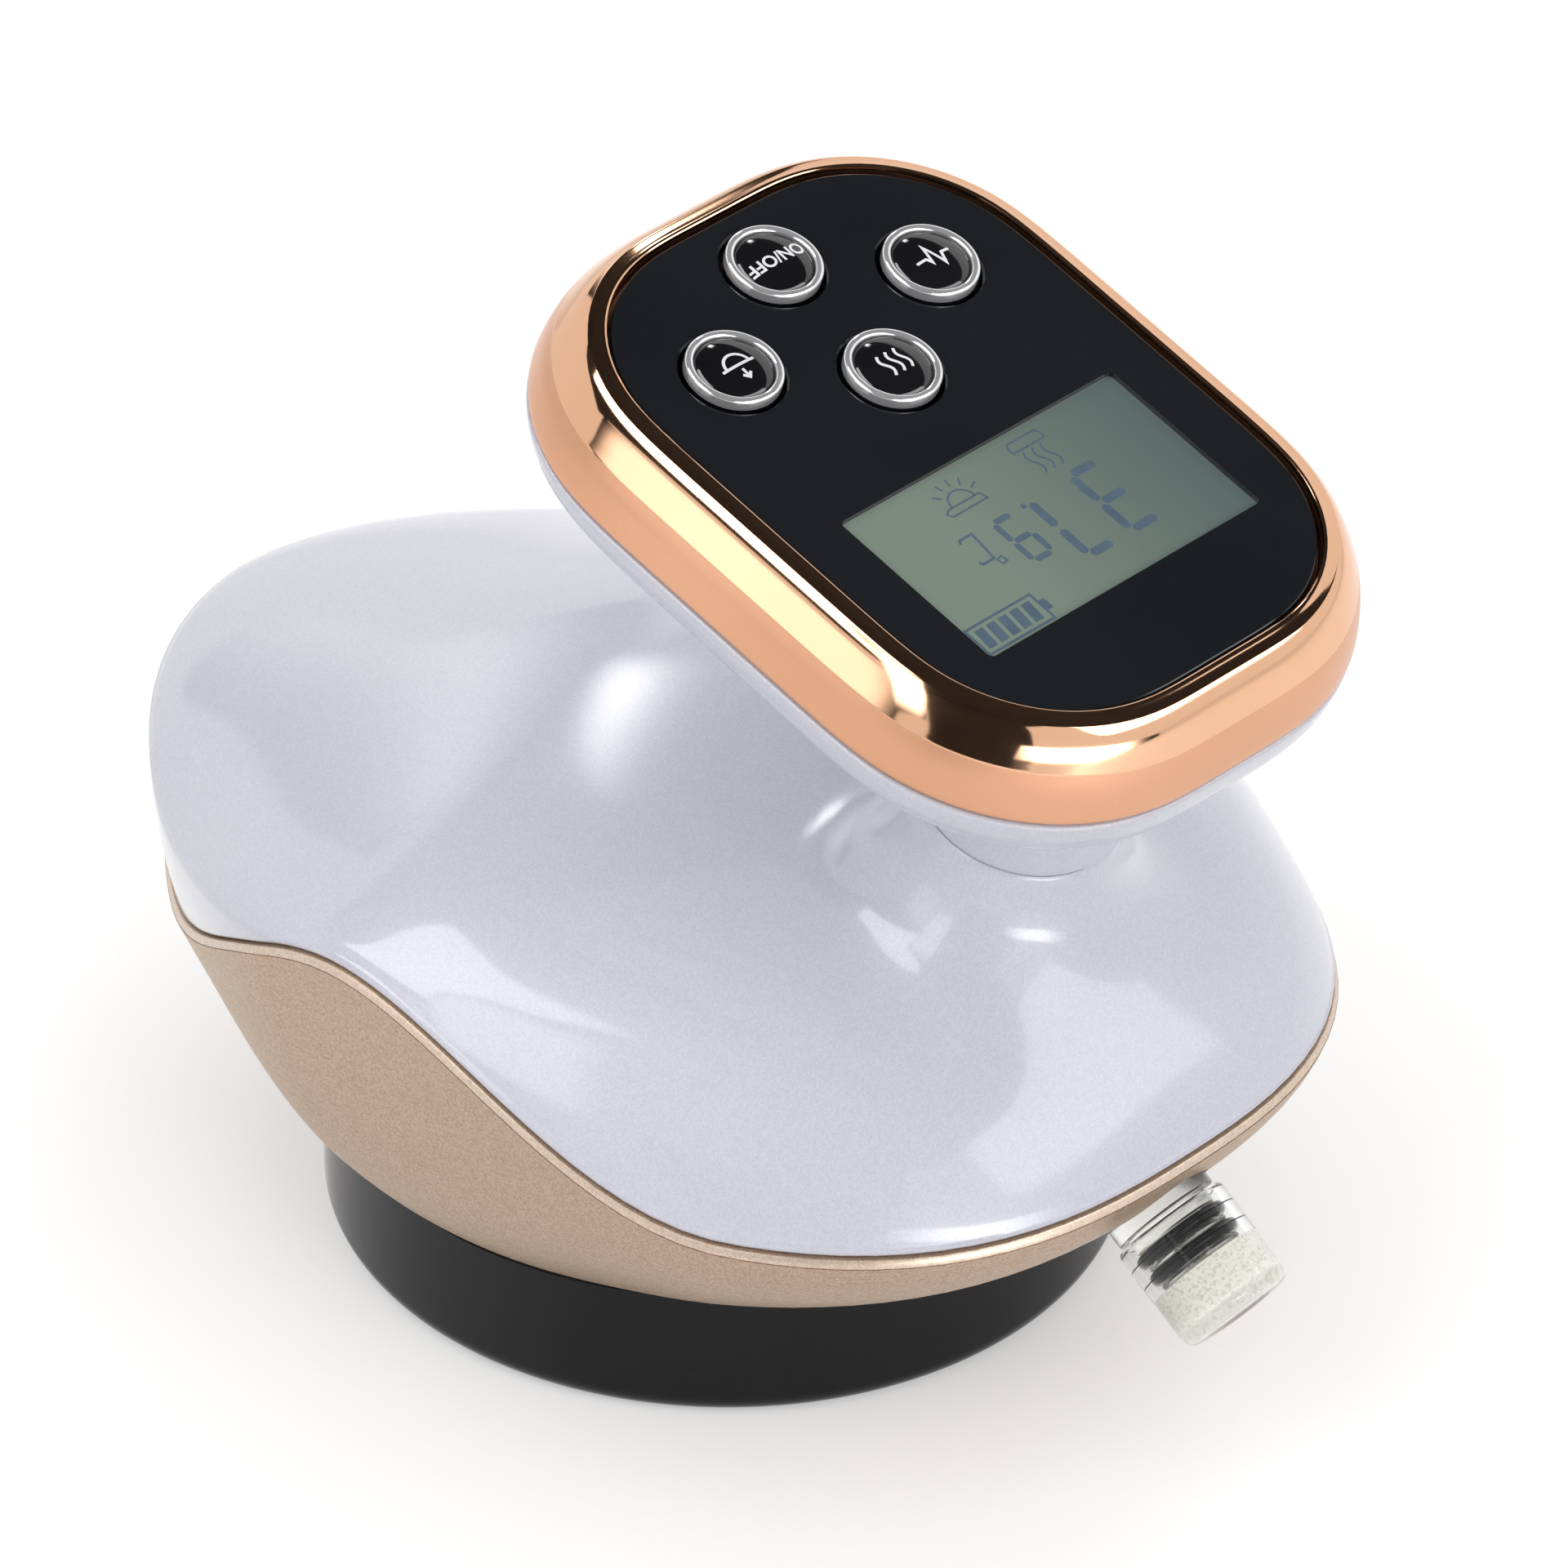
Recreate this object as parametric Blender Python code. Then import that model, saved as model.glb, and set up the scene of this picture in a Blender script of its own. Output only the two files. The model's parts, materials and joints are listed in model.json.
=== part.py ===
"""Electric cupping massager, modelled in metres with +Z up.

The suction cup stands on the ground with its axis on Z. The user reads the panel from -Y, and the
neck, the display end of the head and the collecting cup are at +Y. Left and right mirror in X.
"""

import functools
import math

import bmesh
import bpy
from mathutils import Matrix, Vector

# Clearances and cuts
GAP = 0.0003
RUNNING_GAP = 0.00045
OVERRUN = 0.002

# Facets round each kind of piece
BODY_FACETS = 36
CUP_FACETS = 32
PORT_FACETS = 20
ROUND_FACETS = 16
SMALL_FACETS = 10
BORE_FACETS = 8
CORNER_FACETS = 7
O_RING_FACETS = 5
SHARP_TURN = math.radians(38.0)
SOFT_TURN = math.radians(62.0)

# Suction cup
CUP_SHOULDER_HEIGHT = 0.0150
CUP_RIM_ROUND = 0.0026
CUP_WALL = 0.0062
CUP_SPIGOT_STEP = 0.0028
CUP_MARGIN = 0.0030
ROOF_HEIGHT = 0.0190
ROOF_THICKNESS = 0.0030
CHAMBER_ROUND = 0.0014

# Electrode ring in the rim of the cup
ELECTRODE_WIDTH = 0.0026
ELECTRODE_DEPTH = 0.0028
ELECTRODE_RECESS = 0.0004

# Red light lens, lamp board and heating plate
LENS_RADIUS = 0.0132
LENS_FLANGE = 0.0016
LENS_FLANGE_THICKNESS = 0.0010
LENS_DROP = 0.0062
LENS_WALL = 0.0014
LAMP_BOARD_THICKNESS = 0.0012
LAMP_COUNT = 6
LAMP_RADIUS = 0.0014
LAMP_DEPTH = 0.0016
LAMP_CIRCLE_SHARE = 0.62
HEATER_INNER_RADIUS = 0.0152
HEATER_INSET = 0.0130
HEATER_THICKNESS = 0.0012
BEAD_COUNT = 8
BEAD_RADIUS = 0.0024
BEAD_RISE_SHARE = 0.62
BEAD_SHARES = ((0.0, 1.0), (0.60, 0.80), (1.0, 0.0))

# Outline of the body, seen from above
BODY_HALF_WIDTH = 0.0502
BODY_FRONT = 0.0614
BODY_BACK = 0.0680
WIDEST_PLACE = -0.0140
FRONT_POWER = 2.65
BACK_ACROSS_POWER = 1.85
BACK_ALONG_POWER = 1.30
POWER_BLEND = 0.0200
BACK_CROWDING = 0.30
FINE_TURN = math.radians(0.5)
BODY_WALL = 0.0022
LEDGE = 0.0004
LEDGE_DROP = 0.0011
RIM_RISE = 0.0001

# Height of the seam and of the crown, at shares of the body's length from back to front
SEAM_BACK_HEIGHT = 0.0300
SEAM_FRONT_HEIGHT = 0.0337
SEAM_PLACE_SHARES = (0.157, 0.50, 0.836)
HUMP_RISE = 0.0093
NECK_FOOT_DROP = 0.0044
CROWN_PLACE_SHARES = (0.30, 0.86)
CROWN_FRONT_POWER = 2.1
CROWN_BACK_POWER = 0.70
CROWN_BLEND = 0.0300
CROWN_BLEND_PLACE = 0.0088
CROWN_RISE_POWER = 1.31
FLARE_WIDTH = 0.0125

# The upper shell stands out over the seam at the back
UNDERCUT_START = 0.0050
UNDERCUT_LENGTH = 0.0450
UNDERCUT_DEPTH = 0.0016
UNDERCUT_RISE = 0.0122
UNDERCUT_ROWS = 3
CROWN_ROWS = 8

# Knee of the bowl's side, as shares of its width and height, at the front, sides and back
BOWL_OUT_SHARES = (0.90, 0.58, 0.33)
BOWL_UP_SHARES = (0.545, 0.07, 0.10)
BOWL_ROWS = 5

# Head, laid out in its own frame: X across, Y up the panel's slope, Z out of the panel
HEAD_FORWARD = 0.0304
HEAD_RISE = 0.0474
HEAD_TILT = math.radians(17.0)
PANEL_HALF_WIDTH = 0.0248
PANEL_HALF_LENGTH = 0.0338
PANEL_CORNER = 0.0171
PANEL_THICKNESS = 0.0016
BEZEL_WIDTH = 0.0059
BEZEL_DEPTH = 0.0092
BEZEL_CREST = 0.0009
BEZEL_OUT_SHARES = (1.0, 0.965, 0.87, 0.74, 0.55, 0.36, 0.20, 0.10)
BEZEL_DOWN_SHARES = (1.0, 0.75, 0.54, 0.36, 0.20, 0.07, -0.03, -0.095)
BEZEL_SEAT = 0.0012
BEZEL_SKIRT = 0.0018
UNDER_SHELL_DEPTH = 0.0085
UNDER_SHELL_WALL = 0.0020
UNDER_SHELL_SHARES = (
    (0.0, 0.0), (0.008, 0.16), (0.03, 0.32), (0.09, 0.50),
    (0.22, 0.66), (0.45, 0.80), (0.72, 0.91), (0.90, 1.06),
)
NECK_START_SHARE = 1.5
NECK_FORWARD = 0.0188
NECK_RADIUS = 0.0101
NECK_LENGTH = 0.0334
SPIGOT_LENGTH = 0.0050
SPIGOT_WALL = 0.0018

# Display
WINDOW_WIDTH = 0.0371
WINDOW_LENGTH = 0.0202
WINDOW_FORWARD = 0.0117
LCD_BORDER = 0.0014
LCD_THICKNESS = 0.0022
BACKLIGHT_THICKNESS = 0.0026

# Buttons, set as a diamond
BUTTON_RADIUS = 0.0048
BUTTON_SPREAD = 0.0134
BUTTON_STEP = 0.0081
BUTTONS_BACK = 0.0180
BUTTON_RISE = 0.0009
BUTTON_DOME = 0.0005
DOME_SHARE = 0.72
BUTTON_RING_WIDTH = 0.00085
BUTTON_RING_DEPTH = 0.0011
BUTTON_FLANGE = 0.0007
BUTTON_FLANGE_THICKNESS = 0.0009
BUTTON_TRAVEL = 0.0006
STEM_RADIUS = 0.0012
SWITCH_SIZE = 0.0060
SWITCH_HEIGHT = 0.0028
SWITCH_BORE_DEPTH = 0.0018

# Control board in the head
CONTROL_BOARD_THICKNESS = 0.0012
CONTROL_BOARD_MARGIN = 0.0030
PLUG_HALF_WIDTH = 0.0035
PLUG_HALF_LENGTH = 0.0022
PLUG_HEIGHT = 0.0020

# Collecting cup, laid out along its own axis, which starts where it leaves the body
COLLECTOR_PLACE = (0.0, 0.0579, 0.0260)
COLLECTOR_TILT = math.radians(34.0)
COLLECTOR_RADIUS = 0.0061
COLLECTOR_WALL = 0.0010
COLLECTOR_FLOOR = 0.0014
COLLECTOR_START = 0.0016
COLLECTOR_LENGTH = 0.0112
COLLECTOR_ROUND = 0.0012
PORT_FLANGE_RADIUS = 0.0055
PORT_FLANGE_LENGTH = 0.0012
PORT_SINK = 0.0010
PORT_SHAFT_RADIUS = 0.0042
PORT_TAIL = 0.0058
PORT_BORE = 0.0008
PORT_BORE_SPREAD = 0.0020
PORT_NIPPLE_RADIUS = 0.0015
PORT_NIPPLE_LENGTH = 0.0026
O_RING_THICKNESS = 0.0013
O_RING_PLACES = (0.0036, 0.0056)
O_RING_CLEARANCE = 0.00012

# Inside the body
NOZZLE_INSET = 0.0099
NOZZLE_RADIUS = 0.0020
NOZZLE_FLANGE_RADIUS = 0.0033
NOZZLE_FLANGE_THICKNESS = 0.0012
NOZZLE_HEIGHT = 0.0040
HOSE_RADIUS = 0.0017
POST_RADIUS = 0.0026
SCREW_HEAD_HEIGHT = 0.0013
SCREW_HEAD_RADIUS = 0.0019
SCREW_HEAD_ROUND = 0.0004
SCREW_RADIUS = 0.0010
SCREW_BORE = 0.0013
SCREW_LENGTH = 0.0070
BOSS_RADIUS = 0.0032
CASE_SCREW_INSET = 0.0100
CASE_SCREW_ANGLE = math.radians(39.0)
MAIN_BOARD_HALF_WIDTH = 0.0190
MAIN_BOARD_HALF_LENGTH = 0.0250
MAIN_BOARD_PLACE = -0.0060
MAIN_BOARD_CLEARANCE = 0.0034
MAIN_BOARD_THICKNESS = 0.0014
POST_INSET = 0.0032
BATTERY_HALF_WIDTH = 0.0150
BATTERY_HALF_LENGTH = 0.0130
BATTERY_THICKNESS = 0.0066
BATTERY_PLACE = -0.0120
BATTERY_ROUND = 0.0018
BATTERY_ROOM = 0.0073
MOTOR_RADIUS = 0.0078
MOTOR_LENGTH = 0.0230
MOTOR_ROUND = 0.0008
MOTOR_ACROSS = -0.0045
MOTOR_BACK = 0.0300
MOTOR_CLEARANCE = 0.0048
MOTOR_BOSS_RADIUS = 0.0030
MOTOR_BOSS_LENGTH = 0.0012
PUMP_LENGTH = 0.0100
PUMP_WALL = 0.0016
CRANK_RADIUS = 0.0042
CRANK_THICKNESS = 0.0020
CRANK_PIN_RADIUS = 0.0010
CRANK_PIN_LENGTH = 0.0030
CRANK_THROW = 0.0012
SHAFT_RADIUS = 0.0008
SHAFT_LENGTH = 0.0040
ROD_RING_WIDTH = 0.0012
ROD_THICKNESS = 0.0020
ROD_REACH = 0.0058
ROD_STEM_RADIUS = 0.0007
DIAPHRAGM_RADIUS = 0.0030
DIAPHRAGM_THICKNESS = 0.0010
PUMP_HEAD_LENGTH = 0.0060
CRADLE_HALF_LENGTH = 0.0060
PUMP_NIPPLE_LENGTH = 0.0030
VALVE_PLACE = (-0.0085, 0.0235)
VALVE_SIZE = 0.0090
VALVE_HEIGHT = 0.0100
PLUNGER_RADIUS = 0.0014
PLUNGER_LENGTH = 0.0060
PLUNGER_PROUD = 0.0024
PLUNGER_TRAVEL = 0.0010
INLET_HALF_WIDTH = 0.0046
INLET_HALF_HEIGHT = 0.0018
INLET_SLOT_WALL = 0.0006
INLET_LENGTH = 0.0070
INLET_TONGUE_HALF_WIDTH = 0.0029
INLET_TONGUE_THICKNESS = 0.0008
INLET_UP_SHARE = 0.62
LEAD_RADIUS = 0.0012
LEAD_STRAIGHT = 0.0030
LEAD_DROP = 0.0045
LEAD_TURN_SHARE = 0.40
END_SHARE = 0.25
HOSE_STRAIGHT = 0.0048
HOSE_ACROSS_SHARES = (-0.39, 0.04, 0.25, 0.58, 0.87)
HOSE_ALONG_SHARES = (0.10, 0.24, 0.37, 0.61, 0.81)
HOSE_UP_SHARES = (-0.04, -0.41, -0.68, -0.68, -0.41)

# The cup's roof is as wide as the main board's posts need, and its pieces keep their place from its edge
POST_X = MAIN_BOARD_HALF_WIDTH - POST_INSET
POST_Y = MAIN_BOARD_HALF_LENGTH - POST_INSET
POST_REACH = math.hypot(POST_X, POST_Y - MAIN_BOARD_PLACE)
CUP_RADIUS = POST_REACH + POST_RADIUS + CUP_SPIGOT_STEP + CUP_MARGIN
HEATER_OUTER_RADIUS = CUP_RADIUS - HEATER_INSET
NOZZLE_PLACE = CUP_RADIUS - NOZZLE_INSET
CASE_SCREW_REACH = CUP_RADIUS - CASE_SCREW_INSET
CASE_SCREW_X = CASE_SCREW_REACH * math.cos(CASE_SCREW_ANGLE)
CASE_SCREW_Y = CASE_SCREW_REACH * math.sin(CASE_SCREW_ANGLE)

# Heights that follow the stack over the cup's roof: motor, main board, battery, crown, neck, head
MOTOR_HEIGHT = ROOF_HEIGHT + MOTOR_CLEARANCE + MOTOR_RADIUS
MOTOR_PLACE = (MOTOR_ACROSS, -MOTOR_BACK, MOTOR_HEIGHT)
MAIN_BOARD_HEIGHT = MOTOR_HEIGHT + MOTOR_RADIUS + MAIN_BOARD_CLEARANCE
BATTERY_TOP = MAIN_BOARD_HEIGHT + MAIN_BOARD_THICKNESS + GAP + BATTERY_THICKNESS
HUMP_HEIGHT = BATTERY_TOP + BATTERY_ROOM
SEAM_PEAK_HEIGHT = HUMP_HEIGHT - HUMP_RISE
NECK_FOOT_HEIGHT = HUMP_HEIGHT - NECK_FOOT_DROP
HEAD_PLACE = (0.0, HEAD_FORWARD, NECK_FOOT_HEIGHT + HEAD_RISE)


def make_material(name, colour, roughness, metallic=0.0, transmission=0.0):
    """A Principled material with one colour."""
    material = bpy.data.materials.new(name)
    material.use_nodes = True
    shader = material.node_tree.nodes["Principled BSDF"]
    shader.inputs["Base Color"].default_value = (*colour, 1.0)
    shader.inputs["Roughness"].default_value = roughness
    shader.inputs["Metallic"].default_value = metallic
    shader.inputs["Transmission Weight"].default_value = transmission
    material.diffuse_color = (*colour, 1.0)
    return material


def add_object(name, mesh_data, material=None, parent=None, place=None, sharp=SHARP_TURN):
    """Links a mesh as a named object, under a parent if there is one."""
    mesh = bpy.data.meshes.new(name)
    mesh_data.to_mesh(mesh)
    mesh_data.free()
    mesh.shade_smooth()
    mesh.set_sharp_from_angle(angle=sharp)
    thing = bpy.data.objects.new(name, mesh)
    bpy.context.scene.collection.objects.link(thing)
    if material is not None:
        mesh.materials.append(material)
    thing.parent = parent
    if place is not None:
        thing.matrix_local = place
    return thing


def add_frame(name, place, parent=None):
    """An empty that carries the pieces laid out in its frame."""
    frame = bpy.data.objects.new(name, None)
    bpy.context.scene.collection.objects.link(frame)
    frame.parent = parent
    frame.matrix_local = place
    return frame


def loft(rings, closed=False, cap_start=False, cap_end=False):
    """A bmesh through rings of points. A ring of one point is a pole."""
    shape = bmesh.new()
    rows = [[shape.verts.new(point) for point in ring] for ring in rings]
    pairs = list(zip(rows, rows[1:]))
    if closed:
        pairs.append((rows[-1], rows[0]))
    for low, high in pairs:
        count = max(len(low), len(high))
        for step in range(count):
            after = (step + 1) % count
            if len(low) == 1:
                shape.faces.new((low[0], high[after], high[step]))
            elif len(high) == 1:
                shape.faces.new((low[step], low[after], high[0]))
            else:
                shape.faces.new((low[step], low[after], high[after], high[step]))
    if cap_start:
        shape.faces.new(list(reversed(rows[0])))
    if cap_end:
        shape.faces.new(rows[-1])
    bmesh.ops.recalc_face_normals(shape, faces=shape.faces)
    return shape


def circle_ring(radius, height, facets, centre=(0.0, 0.0)):
    """Points of a level circle, or its centre where the radius is zero."""
    if radius == 0.0:
        return [Vector((centre[0], centre[1], height))]
    ring = []
    for step in range(facets):
        angle = math.tau * step / facets
        x, y = radius * math.cos(angle), radius * math.sin(angle)
        ring.append(Vector((centre[0] + x, centre[1] + y, height)))
    return ring


def turned(profile, facets, closed=False, centre=(0.0, 0.0)):
    """A turned shape from its (radius, height) profile."""
    return loft([circle_ring(radius, height, facets, centre) for radius, height in profile], closed)


def arc(centre, radius, start, end, steps):
    """Points of a profile's arc, from start to end in degrees."""
    points = []
    for step in range(steps + 1):
        angle = math.radians(start + (end - start) * step / steps)
        points.append((centre[0] + radius * math.cos(angle), centre[1] + radius * math.sin(angle)))
    return points


def rounded_ring(half_width, half_length, corner, height, facets=CORNER_FACETS, centre=(0.0, 0.0)):
    """Points of a level rounded rectangle, counter-clockwise from +X."""
    corner = min(corner, half_width, half_length)
    ring = []
    for quarter in range(4):
        across = 1 if quarter in (0, 3) else -1
        along = 1 if quarter in (0, 1) else -1
        middle = (across * (half_width - corner) + centre[0], along * (half_length - corner) + centre[1])
        for x, y in arc(middle, corner, 90.0 * quarter, 90.0 * (quarter + 1), facets - 1):
            ring.append(Vector((x, y, height)))
    return ring


def block(half_width, half_length, low, high, corner, facets=4, centre=(0.0, 0.0)):
    """An upright block with rounded corners."""
    rings = [rounded_ring(half_width, half_length, corner, z, facets, centre) for z in (low, high)]
    return loft(rings, cap_start=True, cap_end=True)


def rod(radius, low, high, facets=SMALL_FACETS, centre=(0.0, 0.0)):
    """An upright solid cylinder."""
    rings = [circle_ring(radius, z, facets, centre) for z in (low, high)]
    return loft(rings, cap_start=True, cap_end=True)


def merged(shapes):
    """One bmesh that holds several separate shapes."""
    whole = bmesh.new()
    for shape in shapes:
        mesh = bpy.data.meshes.new("merged_piece")
        shape.to_mesh(mesh)
        shape.free()
        whole.from_mesh(mesh)
        bpy.data.meshes.remove(mesh)
    return whole


def rods(radius, low, high, places, facets=SMALL_FACETS):
    """Equal solid cylinders at several places, as one shape."""
    return merged([rod(radius, low, high, facets, place) for place in places])


def combine(thing, shape, operation, label, place=None):
    """Cuts or joins a helper shape, which stays in the file as a hidden guide."""
    guide = add_object(thing.name + "_" + label, shape, parent=thing.parent, place=place)
    guide.hide_render = True
    guide.display_type = "WIRE"
    step = thing.modifiers.new(label, "BOOLEAN")
    step.object = guide
    step.operation = operation
    step.solver = "EXACT"


def cut(thing, shape, label, place=None):
    combine(thing, shape, "DIFFERENCE", label, place)


def join(thing, shape, label, place=None):
    combine(thing, shape, "UNION", label, place)


def ease(share):
    """Smooth step from 0 to 1."""
    share = min(max(share, 0.0), 1.0)
    return share * share * (3.0 - 2.0 * share)


def smooth_curve(points, steps):
    """Points read from a smooth curve through the given points."""
    ends = [points[0] * 2 - points[1], *points, points[-1] * 2 - points[-2]]
    curve = []
    for index in range(1, len(ends) - 2):
        before, start, end, after = ends[index - 1 : index + 3]
        for step in range(steps):
            t = step / steps
            a = start * 2
            b = (end - before) * t
            c = (before * 2 - start * 5 + end * 4 - after) * t * t
            d = (start * 3 - before - end * 3 + after) * t * t * t
            curve.append((a + b + c + d) / 2)
    curve.append(points[-1].copy())
    return curve


def add_tube(name, points, radius, material, steps=3):
    """A round tube with filled ends along a smooth route that starts and ends straight."""
    first = points[0].lerp(points[1], END_SHARE)
    last = points[-1].lerp(points[-2], END_SHARE)
    line = [points[0], *smooth_curve([first, *points[1:-1], last], steps), points[-1]]
    curve = bpy.data.curves.new(name, "CURVE")
    curve.dimensions = "3D"
    curve.bevel_depth = radius
    curve.bevel_resolution = 2
    curve.render_resolution_u = 0
    curve.use_fill_caps = True
    spline = curve.splines.new("POLY")
    spline.points.add(len(line) - 1)
    for place, point in zip(spline.points, line):
        place.co = (*point, 1.0)
    curve.materials.append(material)
    tube = bpy.data.objects.new(name, curve)
    bpy.context.scene.collection.objects.link(tube)
    return tube


def head_matrix():
    """The head's frame: turned about X so that the display end is lower."""
    return Matrix.Translation(HEAD_PLACE) @ Matrix.Rotation(-HEAD_TILT, 4, "X")


def collector_matrix():
    """The collecting cup's frame: Z runs out of the body and down."""
    return Matrix.Translation(COLLECTOR_PLACE) @ Matrix.Rotation(-(math.pi / 2 + COLLECTOR_TILT), 4, "X")


def outline_level(x, y):
    """1 on the outline and less inside it. The power across changes from back to front."""
    blend = ease((y - WIDEST_PLACE + POWER_BLEND) / (POWER_BLEND * 2))
    across_power = BACK_ACROSS_POWER + (FRONT_POWER - BACK_ACROSS_POWER) * blend
    if y > WIDEST_PLACE:
        along = ((y - WIDEST_PLACE) / (BODY_FRONT - WIDEST_PLACE)) ** FRONT_POWER
    else:
        along = ((WIDEST_PLACE - y) / (BODY_BACK + WIDEST_PLACE)) ** BACK_ALONG_POWER
    return (abs(x) / BODY_HALF_WIDTH) ** across_power + along


@functools.lru_cache(maxsize=None)
def outline_radius(angle):
    """Distance of the outline from the widest place in one direction, found by halving."""
    low, high = 0.0, BODY_BACK + BODY_FRONT
    for _ in range(40):
        middle = (low + high) / 2
        if outline_level(middle * math.cos(angle), WIDEST_PLACE + middle * math.sin(angle)) < 1:
            low = middle
        else:
            high = middle
    return high


def outline_point(angle):
    """A point of the outline, at no height."""
    reach = outline_radius(angle)
    return Vector((reach * math.cos(angle), WIDEST_PLACE + reach * math.sin(angle), 0.0))


def outline_normal(angle):
    """Level direction square to the outline, pointing out."""
    along = outline_point(angle + FINE_TURN) - outline_point(angle - FINE_TURN)
    return Vector((along.y, -along.x, 0.0)).normalized()


def undercut_share(y):
    """0 at the sides and the front, easing to 1 at the back."""
    return ease((-y - UNDERCUT_START) / UNDERCUT_LENGTH)


def seam_point(angle, out=0.0):
    """A point of the seam, moved out or in. The seam is drawn in under the upper shell at the back."""
    edge = outline_point(angle)
    height = seam_height(edge.y)
    point = edge + outline_normal(angle) * (out - UNDERCUT_DEPTH * undercut_share(edge.y))
    point.z = height
    return point


def length_share(y):
    """Place along the body as a share, 0 at the back and 1 at the front."""
    return (y + BODY_BACK) / (BODY_FRONT + BODY_BACK)


def seam_height(y):
    """The seam rises from the back to its peak and falls to the front."""
    share = length_share(y)
    start, peak, end = SEAM_PLACE_SHARES
    rise = (SEAM_PEAK_HEIGHT - SEAM_BACK_HEIGHT) * ease((share - start) / (peak - start))
    fall = (SEAM_PEAK_HEIGHT - SEAM_FRONT_HEIGHT) * ease((share - peak) / (end - peak))
    return SEAM_BACK_HEIGHT + rise - fall


def crown_height(y):
    """The crown runs from the hump at the back to the foot of the neck."""
    start, end = CROWN_PLACE_SHARES
    return HUMP_HEIGHT + (NECK_FOOT_HEIGHT - HUMP_HEIGHT) * ease((length_share(y) - start) / (end - start))


def dome_height(x, y):
    """The body's upper surface without the flare of the neck."""
    base = seam_height(y) + UNDERCUT_RISE * undercut_share(y)
    backward = ease((CROWN_BLEND_PLACE - y) / CROWN_BLEND)
    power = CROWN_FRONT_POWER + (CROWN_BACK_POWER - CROWN_FRONT_POWER) * backward
    level = min(outline_level(x, y), 1.0)
    return base + (crown_height(y) - base) * (1 - level**power) ** (1 / CROWN_RISE_POWER)


def body_angles():
    """Directions round the body, closer together at the back, where it turns more."""
    turns = [math.tau * step / BODY_FACETS for step in range(BODY_FACETS)]
    return [turn - BACK_CROWDING * math.cos(turn) for turn in turns]


def collar_point(angle):
    """The point of the neck's seam that faces the outline's point."""
    head = head_matrix()
    centre = head @ Vector((0.0, NECK_FORWARD, -NECK_LENGTH))
    toward = outline_point(angle) - centre
    turn = math.atan2(toward.y, toward.x)
    local = (NECK_RADIUS * math.cos(turn), NECK_FORWARD + NECK_RADIUS * math.sin(turn), -NECK_LENGTH)
    return head @ Vector(local)


def crown_point(angle, share):
    """A point over the outline (share 0), on the way to the neck's seam (share 1)."""
    rim = outline_point(angle)
    collar = collar_point(angle)
    x = rim.x + (collar.x - rim.x) * share
    y = rim.y + (collar.y - rim.y) * share
    base = dome_height(x, y)
    away = math.hypot(collar.x - x, collar.y - y)
    rest = max(1 - away / FLARE_WIDTH, 0.0)
    flare = 1 - math.sqrt(1 - rest * rest)
    height = base + (collar.z - dome_height(collar.x, collar.y)) * flare
    lean = math.tan(HEAD_TILT) * (collar.z - height) * flare
    return Vector((x, y - lean, height))


def crown_shares():
    """Shares that crowd at the outline and at the neck, where the surface turns."""
    shares = []
    for row in range(1, CROWN_ROWS + 1):
        t = row / CROWN_ROWS
        shares.append(t * t * (3 - 2 * t) * (1 + t) / 2)
    return shares


def bosses():
    """Places of the four case screws."""
    return [(x, y) for x in (-CASE_SCREW_X, CASE_SCREW_X) for y in (-CASE_SCREW_Y, CASE_SCREW_Y)]


def board_posts():
    """Places of the main board's four posts."""
    return [(side * POST_X, MAIN_BOARD_PLACE + end * POST_Y) for side in (-1, 1) for end in (-1, 1)]


def inner_rings(rings):
    """The rings moved in by the wall: level beside the seam, square to the surface over the crown."""
    angles = body_angles()
    count = len(angles)
    inner = []
    for row, ring in enumerate(rings):
        below = rings[max(row - 1, 0)]
        above = rings[min(row + 1, len(rings) - 1)]
        turn = min(max(row - UNDERCUT_ROWS + 1, 0) / 2, 1.0)
        moved = []
        for step, point in enumerate(ring):
            around = ring[(step + 1) % count] - ring[step - 1]
            square = around.cross(above[step] - below[step]).normalized()
            normal = outline_normal(angles[step]).lerp(square, turn).normalized()
            moved.append(point - normal * BODY_WALL)
        inner.append(moved)
    for row in range(len(inner) - 2, -1, -1):
        for step, point in enumerate(inner[row]):
            point.z = min(point.z, inner[row + 1][step].z)
    for row, ring in enumerate(inner):
        for point, foot in zip(ring, rings[0]):
            point.z = max(point.z, foot.z + RIM_RISE * row)
    return inner


def build_upper_shell(material):
    """Pearl shell: hump at the back, flare up to the neck, four bosses inside."""
    rings = []
    for row in range(UNDERCUT_ROWS):
        share = row / (UNDERCUT_ROWS - 1)
        ring = []
        for angle in body_angles():
            foot = seam_point(angle)
            edge = crown_point(angle, 0.0)
            edge.z = max(edge.z, foot.z + LEDGE_DROP)
            point = foot.lerp(edge, math.sin(share * math.pi / 2))
            point.z = foot.z + (edge.z - foot.z) * share
            ring.append(point)
        rings.append(ring)
    for share in crown_shares():
        rings.append([crown_point(angle, share) for angle in body_angles()])
    rings = rings + list(reversed(inner_rings(rings)))
    for point in rings[0] + rings[-1]:
        point.z += GAP / 2
    shell = add_object("upper_shell", loft(rings, closed=True), material, sharp=SOFT_TURN)
    low = ROOF_HEIGHT + GAP
    columns = []
    for place in bosses():
        around = circle_ring(BOSS_RADIUS, 0.0, SMALL_FACETS, place)
        top = min(dome_height(point.x, point.y) for point in around) - BODY_WALL / 3
        columns.append(rod(BOSS_RADIUS, low, top, SMALL_FACETS, place))
    join(shell, merged(columns), "bosses")
    cut(shell, rods(SCREW_BORE, low - OVERRUN, low + SCREW_LENGTH, bosses()), "bores")
    return shell


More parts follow.
